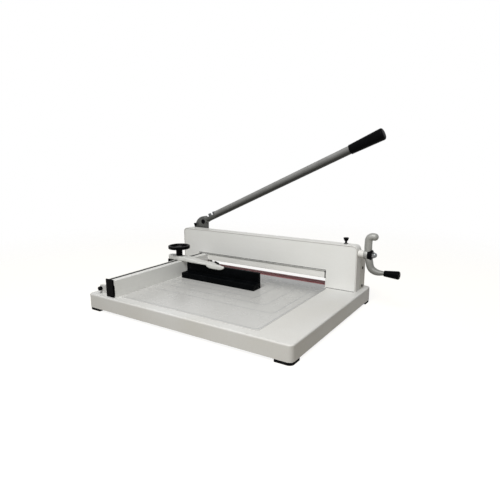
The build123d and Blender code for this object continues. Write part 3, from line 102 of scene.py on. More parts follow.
def powder_coat(name, shade, shadow, rough):
    """Powder sprayed on and baked: a smooth skin with a shallow orange peel and a faint drift in shade.
    The real peel is about 1 mm across; it is drawn at 2.4 mm so that it shows at this size."""
    drift_size, peel_size, peel_depth = 0.14, 0.0024, 0.00015
    finish, tree, shader, place = new_finish(name, {"IOR": 1.5})
    drift = add(tree, "ShaderNodeTexNoise", {}, {"Vector": place, "Scale": 1 / drift_size, "Detail": 2.0})
    peel = add(tree, "ShaderNodeTexNoise", {}, {"Vector": place, "Scale": 1 / peel_size, "Detail": 2.0})
    specks = add(tree, "ShaderNodeMapRange", {}, {0: peel.outputs["Fac"], 1: 0.35, 2: 0.7, 3: 0.0, 4: 0.22})
    cloud = add(tree, "ShaderNodeMapRange", {}, {0: drift.outputs["Fac"], **noise_span, 3: 0.0, 4: 0.6})
    both = add(tree, "ShaderNodeMath", {"operation": "ADD"}, {0: specks.outputs[0], 1: cloud.outputs[0]})
    tint = add(tree, "ShaderNodeMix", colours, {0: both.outputs[0], 6: linear(shade), 7: linear(shadow)})
    sheen = add(tree, "ShaderNodeMapRange", {},
                {0: peel.outputs["Fac"], **noise_span, 3: rough - 0.05, 4: rough + 0.07})
    skin = add(tree, "ShaderNodeBump", {},
               {"Strength": 0.25, "Distance": peel_depth, "Height": peel.outputs["Fac"]})
    couple(tree, shader, tint, sheen, skin)
    return finish


tray_coat = powder_coat("tray_powder_coat", "d6d6d4", "cbc9c2", 0.42)
dress(tray_coat, "base_shell")


# Feet: black rubber mouldings that follow the tray's corners, each held up by one screw.
# Rubber is dull and nearly black, with a grey bloom where the mould release dried.

def moulded(name, shade, bloom, rough, grain_size, bite):
    """Moulded polymer: dark right through, with spark-eroded grain from the mould and a thin pale bloom.
    The real grain is under 0.2 mm; it is drawn at over 1 mm so that it shows."""
    bloom_size, grain_depth = 0.03, 0.0002
    finish, tree, shader, place = new_finish(name, {"IOR": 1.5, "Specular IOR Level": 0.03})
    grain = add(tree, "ShaderNodeTexNoise", {}, {"Vector": place, "Scale": 1 / grain_size, "Detail": 3.0})
    patch = add(tree, "ShaderNodeTexNoise", {}, {"Vector": place, "Scale": 1 / bloom_size, "Detail": 4.0})
    haze = add(tree, "ShaderNodeMapRange", {}, {0: patch.outputs["Fac"], 1: 0.45, 2: 0.75, 3: 0.0, 4: 1.0})
    tint = add(tree, "ShaderNodeMix", colours, {0: haze.outputs[0], 6: linear(shade), 7: linear(bloom)})
    sheen = add(tree, "ShaderNodeMapRange", {},
                {0: patch.outputs["Fac"], **noise_span, 3: rough - 0.06, 4: rough + 0.08})
    skin = add(tree, "ShaderNodeBump", {},
               {"Strength": bite, "Distance": grain_depth, "Height": grain.outputs["Fac"]})
    couple(tree, shader, tint, sheen, skin)
    return finish


foot_rubber = moulded("foot_rubber", "08080a", "121213", rough=0.62, grain_size=0.0016, bite=0.4)
dress(foot_rubber, "rubber_feet")


# The machine's inner screws and bolts: turned steel with bright zinc plating.
# Zinc gives a bluish metal whose gloss changes from one soft crystal patch to the next.

def plated_steel(name, shade, stain, rough):
    """Zinc on turned steel: crystal patches shift the roughness, and a soft cloud stains the colour.
    The real crystals are under 1 mm; they are drawn at 3 mm so that they show."""
    crystal_size, stain_size = 0.003, 0.006
    finish, tree, shader, place = new_finish(name, {"Metallic": 1.0})
    crystals = add(tree, "ShaderNodeTexVoronoi", {}, {"Vector": place, "Scale": 1 / crystal_size})
    cloud = add(tree, "ShaderNodeTexNoise", {}, {"Vector": place, "Scale": 1 / stain_size, "Detail": 3.0})
    tint = add(tree, "ShaderNodeMix", colours, {0: cloud.outputs["Fac"], 6: linear(shade), 7: linear(stain)})
    sheen = add(tree, "ShaderNodeMapRange", {},
                {0: crystals.outputs["Distance"], 1: 0.0, 2: 0.8, 3: rough - 0.08, 4: rough + 0.1})
    couple(tree, shader, tint, sheen)
    return finish


bright_zinc = plated_steel("bright_zinc_plate", "c3c6c8", "9c9fa0", 0.34)
dress(bright_zinc, "foot_screws", "fence_screws", "plate_bolts", "frame_bolts", "guide_screws", "nut_screws",
      "gauge_screws")


# The scale plate: a thin printed sheet under a gloss film, glued flat to the tray. The film mirrors what
# stands on it, duller where paper has rubbed it. Painted shade greys it along the cutting line, where the
# housing's shade falls, and fades out towards the front; a tongue of the same film runs on under the clamp
# to the stick.

def strip(path, width, low, high):
    """A flat band along an open path: at each point its edges stand half its width to the left and right
    of the way it runs, as four corners, which make one ring of points."""
    run = np.gradient(path, axis=0)
    run /= np.linalg.norm(run, axis=1, keepdims=True)
    out = np.stack((-run[:, 1], run[:, 0]), axis=1) * width / 2
    flat = np.stack((path - out, path + out, path + out, path - out), axis=1)
    height = np.broadcast_to(np.array((low, low, high, high))[None, :, None], (len(path), 4, 1))
    return np.concatenate((flat, height), axis=2)


def joined(*bodies):
    """The points of one or more bodies, each given as rings of points, and their faces: quads between
    each ring and the next, and one face over each end."""
    faces, first = [], 0
    for body in bodies:
        at = first + np.arange(body.shape[0] * body.shape[1]).reshape(body.shape[:2])
        near, far = at[:-1], at[1:]
        quads = np.stack((near, np.roll(near, -1, 1), np.roll(far, -1, 1), far), axis=2).reshape(-1, 4)
        faces += quads.tolist() + [at[0][::-1].tolist(), at[-1].tolist()]
        first += at.size
    return np.concatenate([body.reshape(-1, 3) for body in bodies]), faces


def shape(name, points, faces, finish, smooth=False):
    """Makes the mesh and its object at the origin; a smooth one keeps edges over 40 degrees crisp."""
    mesh = bpy.data.meshes.new(name)
    mesh.from_pydata(points.tolist(), [], faces)
    mesh.validate()
    if smooth:
        mesh.shade_smooth()
        mesh.set_sharp_from_angle(angle=math.radians(40))
    mesh.materials.append(finish)
    piece = bpy.data.objects.new(name, mesh)
    bpy.context.scene.collection.objects.link(piece)
    return piece


plate_low, plate_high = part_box("scale_plate")
stick_low, stick_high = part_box("cutting_stick")
shade_front, shade_back = 0.03, 0.145
cloud_size, rub_size, wave_size, wave_depth = 0.09, 0.03, 0.025, 0.0002
gloss_film, tree, shader, place = new_finish("printed_gloss_film", {"IOR": 1.5, "Specular IOR Level": 0.42})
cloud = add(tree, "ShaderNodeTexNoise", {}, {"Vector": place, "Scale": 1 / cloud_size, "Detail": 3.0})
sheet = add(tree, "ShaderNodeMix", colours,
            {0: cloud.outputs["Fac"], 6: linear("c6c5c2"), 7: linear("bdbdb9")})
where = add(tree, "ShaderNodeSeparateXYZ", {}, {0: place})
# Painted shade: towards the housing the film is mixed to a mid grey, standing for the housing's shade.
fade = add(tree, "ShaderNodeMapRange", {"interpolation_type": "SMOOTHSTEP"},
           {0: where.outputs["Y"], 1: shade_front, 2: shade_back, 3: 0.0, 4: 1.0})
tint = add(tree, "ShaderNodeMix", colours, {0: fade.outputs[0], 6: sheet.outputs[2], 7: linear("8f908f")})
rubs = add(tree, "ShaderNodeTexNoise", {}, {"Vector": place, "Scale": 1 / rub_size, "Detail": 4.0})
sheen = add(tree, "ShaderNodeMapRange", {}, {0: rubs.outputs["Fac"], 1: 0.35, 2: 0.75, 3: 0.23, 4: 0.31})
wave = add(tree, "ShaderNodeTexNoise", {}, {"Vector": place, "Scale": 1 / wave_size, "Detail": 1.0})
skin = add(tree, "ShaderNodeBump", {},
           {"Strength": 0.04, "Distance": wave_depth, "Height": wave.outputs["Fac"]})
couple(tree, shader, tint, sheen, skin)
dress(gloss_film, "scale_plate")

# The tongue lies under the clamp, past the end of the fade, so all of it takes the painted shade grey.
tongue_end, tongue_gap, tongue_thickness = 0.154, 0.0002, 0.0004
tongue_y = (plate_high.y + stick_low.y) / 2
tongue_line = np.array(((plate_low.x, tongue_y), (tongue_end, tongue_y)))
tongue_width = stick_low.y - plate_high.y - tongue_gap
tongue = strip(tongue_line, tongue_width, plate_low.z, plate_low.z + tongue_thickness)
plate_tongue = shape("plate_tongue", *joined(tongue), gloss_film)
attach(plate_tongue, "table")


# The print on the scale plate: nested paper formats with round corners, a rule beside the fence and its
# centimetre numbers, screen-printed in grey ink that stands 0.04 mm above the sheet. The screen's threads are
# about 0.1 mm apart; their mottle is drawn at 4 mm so that it shows.

ink_thickness, screen_size = 0.00004, 0.004
ink_low, ink_high = plate_high.z, plate_high.z + ink_thickness
ink, tree, shader, place = new_finish("grey_screen_ink", {"IOR": 1.5})
screen = add(tree, "ShaderNodeTexNoise", {}, {"Vector": place, "Scale": 1 / screen_size, "Detail": 3.0})
tint = add(tree, "ShaderNodeMix", colours,
           {0: screen.outputs["Fac"], 6: linear("84878a"), 7: linear("9a9c9d")})
sheen = add(tree, "ShaderNodeMapRange", {}, {0: screen.outputs["Fac"], **noise_span, 3: 0.3, 4: 0.42})
couple(tree, shader, tint, sheen)

# Each format is given by its right and front edges; the fence and the knife are its other two.
formats = ((0.1605, -0.1965), (0.140, -0.102), (0.0955, -0.062), (0.0455, -0.0275), (-0.005, 0.0))
format_line, format_bend, fence_margin, back_margin = 0.0013, 0.012, 0.012, 0.004
turn = np.linspace(-math.pi / 2, 0, 9)
bands = []
for right, front in formats:
    corner = np.stack((right - format_bend + format_bend * np.cos(turn),
                       front + format_bend + format_bend * np.sin(turn)), axis=1)
    start, end = (plate_low.x + fence_margin, front), (right, plate_high.y - back_margin)
    bands.append(strip(np.concatenate(([start], corner, [end])), format_line, ink_low, ink_high))

cut_line, rule_start, rule_margin, mark_step = 0.1825, 0.05, 0.01, 0.005
mark_left, mark_width = plate_low.x + 0.001, 0.0006
for count, y in enumerate(np.arange(cut_line - rule_start, plate_low.y + rule_margin, -mark_step)):
    mark_length = 0.009 if count % 10 == 0 else 0.006 if count % 2 == 0 else 0.004
    mark = np.array(((mark_left, y), (mark_left + mark_length, y)))
    bands.append(strip(mark, mark_width, ink_low, ink_high))
format_print = shape("format_print", *joined(*bands), ink)
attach(format_print, "table")

number_count, number_step, number_size, number_left = 6, 0.05, 0.0075, plate_low.x + 0.0115
spots, faces = np.empty((0, 3)), []
for count in range(1, number_count + 1):
    written = bpy.data.curves.new("number", "FONT")
    written.body = str(round(100 * number_step * count))
    written.size = number_size
    written.align_x = "LEFT"
    written.align_y = "CENTER"
    written.extrude = ink_thickness / 2
    held = bpy.data.objects.new("number", written)
    bpy.context.scene.collection.objects.link(held)
    drawn = bpy.data.meshes.new_from_object(held)
    faces += [[len(spots) + corner for corner in face.vertices] for face in drawn.polygons]
    flat = np.empty(len(drawn.vertices) * 3)
    drawn.vertices.foreach_get("co", flat)
    lift = (number_left, cut_line - number_step * count, plate_high.z + ink_thickness / 2)
    spots = np.concatenate((spots, flat.reshape(-1, 3) + lift))
    bpy.data.objects.remove(held)
    bpy.data.curves.remove(written)
    bpy.data.meshes.remove(drawn)
rule_numbers = shape("rule_numbers", spots, faces, ink)
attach(rule_numbers, "table")


# The cutting stick: a red plastic bar that the blade bites into, lying loose in its channel.
# It is extruded PVC, dull and faintly streaked along its length, and scored along its middle by the blade.

streak_length, streak_width = 0.15, 0.0015
score_half, score_edge, score_depth = 0.0003, 0.0011, 0.0004
red_pvc, tree, shader, place = new_finish("red_pvc_stick", {"IOR": 1.53, "Specular IOR Level": 0.2})
combed = add(tree, "ShaderNodeMapping", {},
             {"Vector": place, "Scale": (1 / streak_length, 1 / streak_width, 1 / streak_width)})
streak = add(tree, "ShaderNodeTexNoise", {}, {"Vector": combed.outputs[0], "Scale": 1.0, "Detail": 3.0})
where = add(tree, "ShaderNodeSeparateXYZ", {}, {0: place})
off = add(tree, "ShaderNodeMath", {"operation": "SUBTRACT"},
          {0: where.outputs["Y"], 1: (stick_low.y + stick_high.y) / 2})
off = add(tree, "ShaderNodeMath", {"operation": "ABSOLUTE"}, {0: off.outputs[0]})
score = add(tree, "ShaderNodeMapRange", {},
            {0: off.outputs[0], 1: score_half, 2: score_edge, 3: 1.0, 4: 0.0})
clean = add(tree, "ShaderNodeMix", colours,
            {0: streak.outputs["Fac"], 6: linear("b04347"), 7: linear("96373b")})
tint = add(tree, "ShaderNodeMix", colours, {0: score.outputs[0], 6: clean.outputs[2], 7: linear("5f2427")})
sheen = add(tree, "ShaderNodeMapRange", {}, {0: streak.outputs["Fac"], **noise_span, 3: 0.4, 4: 0.55})
skin = add(tree, "ShaderNodeBump", {"invert": True},
           {"Strength": 0.6, "Distance": score_depth, "Height": score.outputs[0]})
couple(tree, shader, tint, sheen, skin)
dress(red_pvc, "cutting_stick")


# The stick's channel, the tie rail and the slide plate: cold-rolled steel, folded or sawn and left bare.
# Rolling leaves thin parallel lines and a dull, cloudy grey.

def rolled_steel(name, shade, stain, rough, lay, even=None, painted_shade=None):
    """Steel with the lay of its making: thin parallel lines along one axis, from rolling, drawing or
    grinding. The real lines are under 0.1 mm apart; they are drawn at 0.9 mm so that they show. It is bare
    metal unless the sockets in even say that an enamel covers it. The painted shade, where given, is a tone,
    a
    point, a direction and a distance: the tone is painted on as shade over what lies behind the point, and is
    gone at that distance ahead of it."""
    line_width, line_length, cloud_size, line_depth = 0.0009, 0.05, 0.04, 0.0001
    finish, tree, shader, place = new_finish(name, even or {"Metallic": 1.0})
    stretch = [1 / line_width] * 3
    stretch[lay] = 1 / line_length
    combed = add(tree, "ShaderNodeMapping", {}, {"Vector": place, "Scale": stretch})
    lines = add(tree, "ShaderNodeTexNoise", {}, {"Vector": combed.outputs[0], "Scale": 1.0, "Detail": 3.0})
    cloud = add(tree, "ShaderNodeTexNoise", {}, {"Vector": place, "Scale": 1 / cloud_size, "Detail": 3.0})
    both = add(tree, "ShaderNodeMath", {"operation": "MULTIPLY"},
               {0: lines.outputs["Fac"], 1: cloud.outputs["Fac"]})
    spread = add(tree, "ShaderNodeMapRange", {}, {0: both.outputs[0], 1: 0.12, 2: 0.42, 3: 0.0, 4: 1.0})
    tint = add(tree, "ShaderNodeMix", colours, {0: spread.outputs[0], 6: linear(shade), 7: linear(stain)})
    # Painted shade, where given: a tone mixed in over the side that lies behind the point.
    if painted_shade:
        tone, point, ahead, clean = painted_shade
        off = add(tree, "ShaderNodeVectorMath", {"operation": "SUBTRACT"}, {0: place, 1: point})
        far = add(tree, "ShaderNodeVectorMath", {"operation": "DOT_PRODUCT"}, {0: off.outputs[0], 1: ahead})
        left = add(tree, "ShaderNodeMapRange", {},
                   {0: far.outputs["Value"], 1: 0.0, 2: clean, 3: 1.0, 4: 0.0})
        tint = add(tree, "ShaderNodeMix", colours, {0: left.outputs[0], 6: tint.outputs[2], 7: linear(tone)})
    sheen = add(tree, "ShaderNodeMapRange", {},
                {0: lines.outputs["Fac"], **noise_span, 3: rough - 0.07, 4: rough + 0.09})
    skin = add(tree, "ShaderNodeBump", {},
               {"Strength": 0.15, "Distance": line_depth, "Height": lines.outputs["Fac"]})
    couple(tree, shader, tint, sheen, skin)
    return finish


along_x, along_y, along_z = 0, 1, 2
sheet_steel = rolled_steel("cold_rolled_steel", "b1b2b1", "8b8c8b", 0.42, along_x)
dress(sheet_steel, "bed_channel", "tie_rail", "slide_plate")


# The side fence: an aluminium extrusion with a slot along its top, screwed up from under the tray.
# Etching and anodising leave it satin and pale, with faint die lines along its length, here 2.2 mm apart so
# that they show, and the slot is painted dark grey as painted shade in the recess. The end cap is black ABS,
# pushed on.

stud_low, stud_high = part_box("gauge_stud")
die_line_width, die_line_length, die_line_depth = 0.0022, 0.3, 0.0001
slot_x, slot_half, slot_edge = (stud_low.x + stud_high.x) / 2, 0.0045, 0.0002
anodised, tree, shader, place = new_finish("satin_anodised_aluminium",
                                           {"Metallic": 0.1, "Specular IOR Level": 0.4})
combed = add(tree, "ShaderNodeMapping", {},
             {"Vector": place, "Scale": (1 / die_line_width, 1 / die_line_length, 1 / die_line_width)})
lines = add(tree, "ShaderNodeTexNoise", {}, {"Vector": combed.outputs[0], "Scale": 1.0, "Detail": 2.0})
clean = add(tree, "ShaderNodeMix", colours,
            {0: lines.outputs["Fac"], 6: linear("dededa"), 7: linear("d8d8d4")})
where = add(tree, "ShaderNodeSeparateXYZ", {}, {0: place})
off = add(tree, "ShaderNodeMath", {"operation": "SUBTRACT"}, {0: where.outputs["X"], 1: slot_x})
off = add(tree, "ShaderNodeMath", {"operation": "ABSOLUTE"}, {0: off.outputs[0]})
# Painted shade: the band over the slot is mixed to dark grey, for the shade in the recess.
slot_shade = add(tree, "ShaderNodeMapRange", {},
             {0: off.outputs[0], 1: slot_half, 2: slot_half + slot_edge, 3: 1.0, 4: 0.0})
tint = add(tree, "ShaderNodeMix", colours, {0: slot_shade.outputs[0], 6: clean.outputs[2], 7: linear("3d3d3b")})
sheen = add(tree, "ShaderNodeMapRange", {}, {0: lines.outputs["Fac"], **noise_span, 3: 0.37, 4: 0.47})
skin = add(tree, "ShaderNodeBump", {},
           {"Strength": 0.12, "Distance": die_line_depth, "Height": lines.outputs["Fac"]})
couple(tree, shader, tint, sheen, skin)
dress(anodised, "side_fence")
black_abs = moulded("black_abs", "030304", "08080a", rough=0.42, grain_size=0.0012, bite=0.18)
dress(black_abs, "fence_cap")


# The guide rod: a ground steel rod beside the fence, with a black nylon knob pressed on its front end.
# Its two brackets are coated together with the tray.

dress(rolled_steel("ground_steel_rod", "c4c4c2", "a3a3a1", 0.26, along_y), "guide_rod")
black_nylon = moulded("black_nylon", "050506", "0c0c0e", rough=0.5, grain_size=0.0014, bite=0.3)
dress(black_nylon, "rod_knob")
dress(tray_coat, "rod_brackets")


# The housing: a folded sheet steel hood over the knife and the clamp, with a flat panel let into its front
# and a lower cover behind. Each is powder-coated in white, the panel lightest and the back in beige grey.

dress(powder_coat("panel_powder_coat", "e6e6e3", "deded9", 0.36), "front_panel")
dress(powder_coat("hood_powder_coat", "dcdbd7", "d2d1cb", 0.38), "front_shell", "crank_boss")
dress(powder_coat("cover_powder_coat", "cfcdc4", "c2c0b5", 0.42), "rear_cover")


# Window shade line: a dark grey PVC strip along the top edge of the panel's window, put there as painted
# shade for the shade line between the panel's edge and the clamp behind it.

def bar(low, high, cut):
    """A straight bar along x: a rectangle whose four corners are cut off, as eight points, at both ends."""
    (x0, y0, z0), (x1, y1, z1) = low, high
    ring = np.array(((y0 + cut, z0), (y1 - cut, z0), (y1, z0 + cut), (y1, z1 - cut),
                     (y1 - cut, z1), (y0 + cut, z1), (y0, z1 - cut), (y0, z0 + cut)))
    ends = np.broadcast_to(np.array((x0, x1))[:, None, None], (2, 8, 1))
    return np.concatenate((ends, np.broadcast_to(ring[None], (2, 8, 2))), axis=2)


panel_low, panel_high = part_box("front_panel")
window_left, window_right, window_top = -0.28315, 0.15735, 0.0896
shade_line_end, shade_line_front, shade_line_back, shade_line_cut = 0.0005, 0.0002, 0.0005, 0.0006
shade_line_bottom, shade_line_top = window_top + 0.0007, window_top + 0.0029
shade_line = bar((window_left + shade_line_end, panel_low.y - shade_line_front, shade_line_bottom),
             (window_right, panel_high.y + shade_line_back, shade_line_top), shade_line_cut)
shade_line_pvc = moulded("shade_line_grey_pvc", "2a2a2b", "363637", rough=0.5, grain_size=0.0014, bite=0.15)
window_shade_line = shape("window_shade_line", *joined(shade_line), shade_line_pvc)
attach(window_shade_line, "table")


# Foot shade line: a thin bead of the same grey PVC along the foot of the hood's front, put there as painted
# shade for the contact shade at the joint with the tray, to the left and the right of the window.

bead_front, bead_back, bead_height, bead_cut = 0.0011, 0.0001, 0.0009, 0.0003
bead_end, bead_gap = 0.001, 0.0005
beads = []
for near, far in ((panel_low.x + bead_end, window_left - bead_gap),
                  (window_right + bead_gap, panel_high.x - bead_end)):
    beads.append(bar((near, panel_low.y - bead_front, plate_low.z),
                     (far, panel_low.y - bead_back, plate_low.z + bead_height), bead_cut))
foot_shade_line = shape("foot_shade_line", *joined(*beads), shade_line_pvc)
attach(foot_shade_line, "table")


# Gap shade felts: strips of black felt on the guide posts, put there as painted shade for the dark gaps
# between the posts and the clamp's ends. Felt is matt and deep black; its nap is drawn like a coarse grain.

post_low, post_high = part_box("guide_posts")
clamp_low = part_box("clamp_bar")[0]
felt_spans = ((-0.2574, -0.2524), (0.1521, 0.1545))
felt_front, felt_back, felt_cut = 0.0016, 0.0002, 0.0003
felts = []
for near, far in felt_spans:
    felts.append(bar((near, post_low.y - felt_front, clamp_low.z),
                     (far, post_low.y - felt_back, post_high.z), felt_cut))
felt_shade = moulded("black_shade_felt", "060606", "141414", rough=0.9, grain_size=0.0012, bite=0.8)
gap_shade_felts = shape("gap_shade_felts", *joined(*felts), felt_shade)
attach(gap_shade_felts, "table")


# Keeper strip and wear strip: a thin red PVC strip and a polished stainless one, both stuck to the tray.
# They carry the paper from the stick to the tray's rear edge. Buffing leaves the steel bright, with fine
# lines along it, here 1.2 mm apart so that they show.

keeper_gap, keeper_back, keeper_height = 0.0006, 0.2068, 0.0006
wear_front, wear_back, wear_height = 0.2072, 0.2265, 0.0005
strip_cut, buff_length, buff_width = 0.0001, 0.06, 0.0012
keeper = bar((stick_low.x, stick_high.y + keeper_gap, plate_low.z),
             (stick_high.x, keeper_back, plate_low.z + keeper_height), strip_cut)
keeper_strip = shape("keeper_strip", *joined(keeper), red_pvc)
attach(keeper_strip, "table")

stainless, tree, shader, place = new_finish("polished_stainless_strip", {"Metallic": 1.0})
buffed = add(tree, "ShaderNodeMapping", {},
             {"Vector": place, "Scale": (1 / buff_length, 1 / buff_width, 1.0)})
lines = add(tree, "ShaderNodeTexNoise", {}, {"Vector": buffed.outputs[0], "Scale": 1.0, "Detail": 2.0})
tint = add(tree, "ShaderNodeMix", colours,
           {0: lines.outputs["Fac"], 6: linear("fbfbfa"), 7: linear("f3f3f2")})
sheen = add(tree, "ShaderNodeMapRange", {}, {0: lines.outputs["Fac"], **noise_span, 3: 0.06, 4: 0.14})
couple(tree, shader, tint, sheen)
wear = bar((stick_low.x, wear_front, plate_low.z),
           (stick_high.x, wear_back, plate_low.z + wear_height), strip_cut)
wear_strip = shape("wear_strip", *joined(wear), stainless)
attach(wear_strip, "table")


# The cover's screws: button heads with a hexagon socket, two through each side of the rear cover, and in its
# top a black ABS knob screw. The steel is blackened in hot oil, and paler where a driver has rubbed it.

def turned(profile, centre, along, side, around=48):
    """A surface of revolution about a line: each profile row is a distance along it and a radius, in
    millimetres, and how far the ring is a hexagon. A hexagon's radius is that of its flats, divided by
    the cosine of the turn from the nearest flat."""
    far, reach, six = (np.array(profile, dtype=float) / (1000, 1000, 1)).T[:, :, None]
    turn = np.linspace(0, 2 * math.pi, around, endpoint=False)
    corner = 1 / np.cos((turn + math.pi / 6) % (math.pi / 3) - math.pi / 6)
    ring = np.outer(np.cos(turn), side) + np.outer(np.sin(turn), np.cross(along, side))
    radius = reach * (1 + six * (corner - 1))
    return (far * np.array(along))[:, None] + radius[:, :, None] * ring[None] + centre


def blackened(name, shade, wear, rough):
    """Steel blackened in a bath: dark and oily, with paler and smoother metal where it has been rubbed."""
    rub_size = 0.004
    finish, tree, shader, place = new_finish(name, {"Metallic": 0.7})
    rub = add(tree, "ShaderNodeTexNoise", {}, {"Vector": place, "Scale": 1 / rub_size, "Detail": 4.0})
    worn = add(tree, "ShaderNodeMapRange", {}, {0: rub.outputs["Fac"], 1: 0.5, 2: 0.8, 3: 0.0, 4: 0.5})
    tint = add(tree, "ShaderNodeMix", colours, {0: worn.outputs[0], 6: linear(shade), 7: linear(wear)})
    sheen = add(tree, "ShaderNodeMapRange", {},
                {0: rub.outputs["Fac"], **noise_span, 3: rough + 0.08, 4: rough - 0.06})
    couple(tree, shader, tint, sheen)
    return finish


black_oxide = blackened("black_oxide_steel", "19191b", "3a3a3c", 0.4)
screws_low, screws_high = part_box("cover_screws")
cover_low, cover_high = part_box("rear_cover")
head_radius = 0.004
button = ((0, 3.9, 0), (0.3, 4, 0), (0.7, 3.9, 0), (1.2, 3.4, 0), (1.6, 2.6, 0), (1.78, 1.8, 0),
          (1.74, 1.5, 1), (0.5, 1.45, 1), (0.45, 0.1, 1))
heads = []
for along, face_x in (((-1, 0, 0), cover_low.x), ((1, 0, 0), cover_high.x)):
    for height in (screws_low.z + head_radius, screws_high.z - head_radius):
        spot = (face_x, (screws_low.y + screws_high.y) / 2, height)
        heads.append(turned(button, spot, along, (0, 1, 0)))
button_heads = shape("button_heads", *joined(*heads), black_oxide, True)
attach(button_heads, "table")
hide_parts("cover_screws")
dress(black_abs, "cover_stud")


# The frames and the rear plate: cast iron cheeks inside the housing, bolted to the tray, and a plate bolted
# to them from behind, which carries the fixed pivots. They are primed in a dull grey, and all the pivots and
# pins are ground steel.

def cast_metal(name, shade, pit, rough, grain_size, metal, bite, lower_shade=None):
    """Metal as it left the sand or the die: a granular skin, darker in its pits, over a soft sheen.
    The real grain is under 0.5 mm; it is drawn at 2 to 3 mm so that it shows. The lower shade, where given,
    is a tone painted on as shade below one height, and gone above another."""
    cloud_size, grain_depth = 0.02, 0.0003
    finish, tree, shader, place = new_finish(name, {"Metallic": metal})
    grain = add(tree, "ShaderNodeTexNoise", {}, {"Vector": place, "Scale": 1 / grain_size, "Detail": 4.0})
    cloud = add(tree, "ShaderNodeTexNoise", {}, {"Vector": place, "Scale": 1 / cloud_size, "Detail": 3.0})
    both = add(tree, "ShaderNodeMath", {"operation": "MULTIPLY"},
               {0: grain.outputs["Fac"], 1: cloud.outputs["Fac"]})
    spread = add(tree, "ShaderNodeMapRange", {}, {0: both.outputs[0], 1: 0.12, 2: 0.42, 3: 1.0, 4: 0.0})
    tint = add(tree, "ShaderNodeMix", colours, {0: spread.outputs[0], 6: linear(shade), 7: linear(pit)})
    # Painted shade, where given: a tone mixed in below a height.
    if lower_shade:
        tone, low, high = lower_shade
        where = add(tree, "ShaderNodeSeparateXYZ", {}, {0: place})
        shade_mask = add(tree, "ShaderNodeMapRange", {}, {0: where.outputs["Z"], 1: low, 2: high, 3: 1.0, 4: 0.0})
        tint = add(tree, "ShaderNodeMix", colours,
                   {0: shade_mask.outputs[0], 6: tint.outputs[2], 7: linear(tone)})
    sheen = add(tree, "ShaderNodeMapRange", {},
                {0: grain.outputs["Fac"], **noise_span, 3: rough + 0.08, 4: rough - 0.06})
    skin = add(tree, "ShaderNodeBump", {},
               {"Strength": bite, "Distance": grain_depth, "Height": grain.outputs["Fac"]})
    couple(tree, shader, tint, sheen, skin)
    return finish


primed_iron = cast_metal("primed_cast_iron", "8f918f", "7a7c7a",
                         rough=0.55, grain_size=0.003, metal=0.0, bite=0.35)
dress(primed_iron, "left_frame", "right_frame", "rear_plate")
ground_pin = rolled_steel("ground_steel_pin", "b9b9b8", "979796", 0.3, along_y)
dress(ground_pin, "lever_pivot", "idler_pivot", "lever_link_pin", "idler_link_pin", "clamp_pins")


# The lever: a cast iron elbow on the pivot, fettled and painted grey, and a drawn steel tube pressed on its
# spigot. The tube's thin silver enamel shows the drawing lines. Its lower side is painted darker than its
# top, as painted shade. A black sleeve of soft PVC is pushed over its end.

elbow_paint = cast_metal("painted_cast_elbow", "5e5f5c", "424341",
                         rough=0.45, grain_size=0.0028, metal=0.25, bite=0.3)
dress(elbow_paint, "lever_hub")
# The tube's painted shade: its lower side, below a line a little under its middle, is mixed to a dark grey.
tilt, shade_below, shade_depth = math.radians(24.05), 0.006, 0.012
up_lever, across_lever = (math.cos(tilt), 0.0, math.sin(tilt)), (-math.sin(tilt), 0.0, math.cos(tilt))
tube_low, tube_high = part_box("lever_tube")
shade_spot = ((tube_low.x + tube_high.x) / 2 + shade_below * math.sin(tilt), 0.0,
             (tube_low.z + tube_high.z) / 2 - shade_below * math.cos(tilt))
silver_enamel = rolled_steel("silver_enamelled_tube", "8b8b89", "767674", 0.44, along_x,
                             {"IOR": 1.5, "Specular IOR Level": 0.2},
                             ("3f3f3d", shade_spot, across_lever, shade_depth))
dress(silver_enamel, "lever_tube")


# Neck bolts: two hexagon bolts through the flat of the elbow's neck, each on its washer.
# Their zinc plating has gone dull and grey.

neck = np.array((-0.28315, 0.199, 0.1934))
bolt_stations, bolt_seat = (0.0135, 0.0315), 0.0025
hexagon = ((0, 6.5, 0), (0.2, 6.7, 0), (1.1, 6.7, 0), (1.3, 6.5, 0), (1.35, 4.5, 1), (1.5, 4.76, 1),
           (8.6, 4.76, 1), (9.2, 4.45, 0.4), (9.5, 4, 0), (9.5, 0.3, 0))
bolts = []
for station in bolt_stations:
    spot = neck + station * np.array(up_lever) + bolt_seat * np.array(across_lever)
    bolts.append(turned(hexagon, spot, across_lever, (0, 1, 0)))
dulled_zinc = plated_steel("dulled_zinc", "6f7172", "505253", 0.45)
neck_bolts = shape("neck_bolts", *joined(*bolts), dulled_zinc, True)
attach(neck_bolts, "lever")
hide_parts("lever_bolts")
soft_pvc = moulded("black_pvc_sleeve", "030304", "09090b", rough=0.45, grain_size=0.0016, bite=0.25)
dress(soft_pvc, "lever_grip")


# Hub plug: a black rubber stopper in the drilled hole in the elbow's cheek, put there as painted shade for
# the shade inside the hole. Its domed flange lies on the casting.

pivot_low, pivot_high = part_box("lever_pivot")
hub_low, hub_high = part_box("lever_hub")
cheek_half, plug_rise = 0.009, 0.041
plug_at = ((pivot_low.x + pivot_high.x) / 2, (hub_low.y + hub_high.y) / 2 - cheek_half,
           (pivot_low.z + pivot_high.z) / 2 + plug_rise)
stopper = ((-1.4, 0.4, 0), (-1.3, 4, 0), (-1.1, 6.6, 0), (-0.7, 7.4, 0), (-0.05, 7.6, 0), (-0.02, 4.7, 0),
           (6, 4.6, 0), (6, 0.4, 0))
plug = turned(stopper, plug_at, (0, 1, 0), (0, 0, 1))
hub_shade_plug = shape("hub_shade_plug", *joined(plug), foot_rubber, True)
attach(hub_shade_plug, "lever")


# The knife: a ground tool steel blade bolted to a painted carrier, hung from the lever and an idler crank.
# Grinding leaves the blade bright, with fine lines across it.

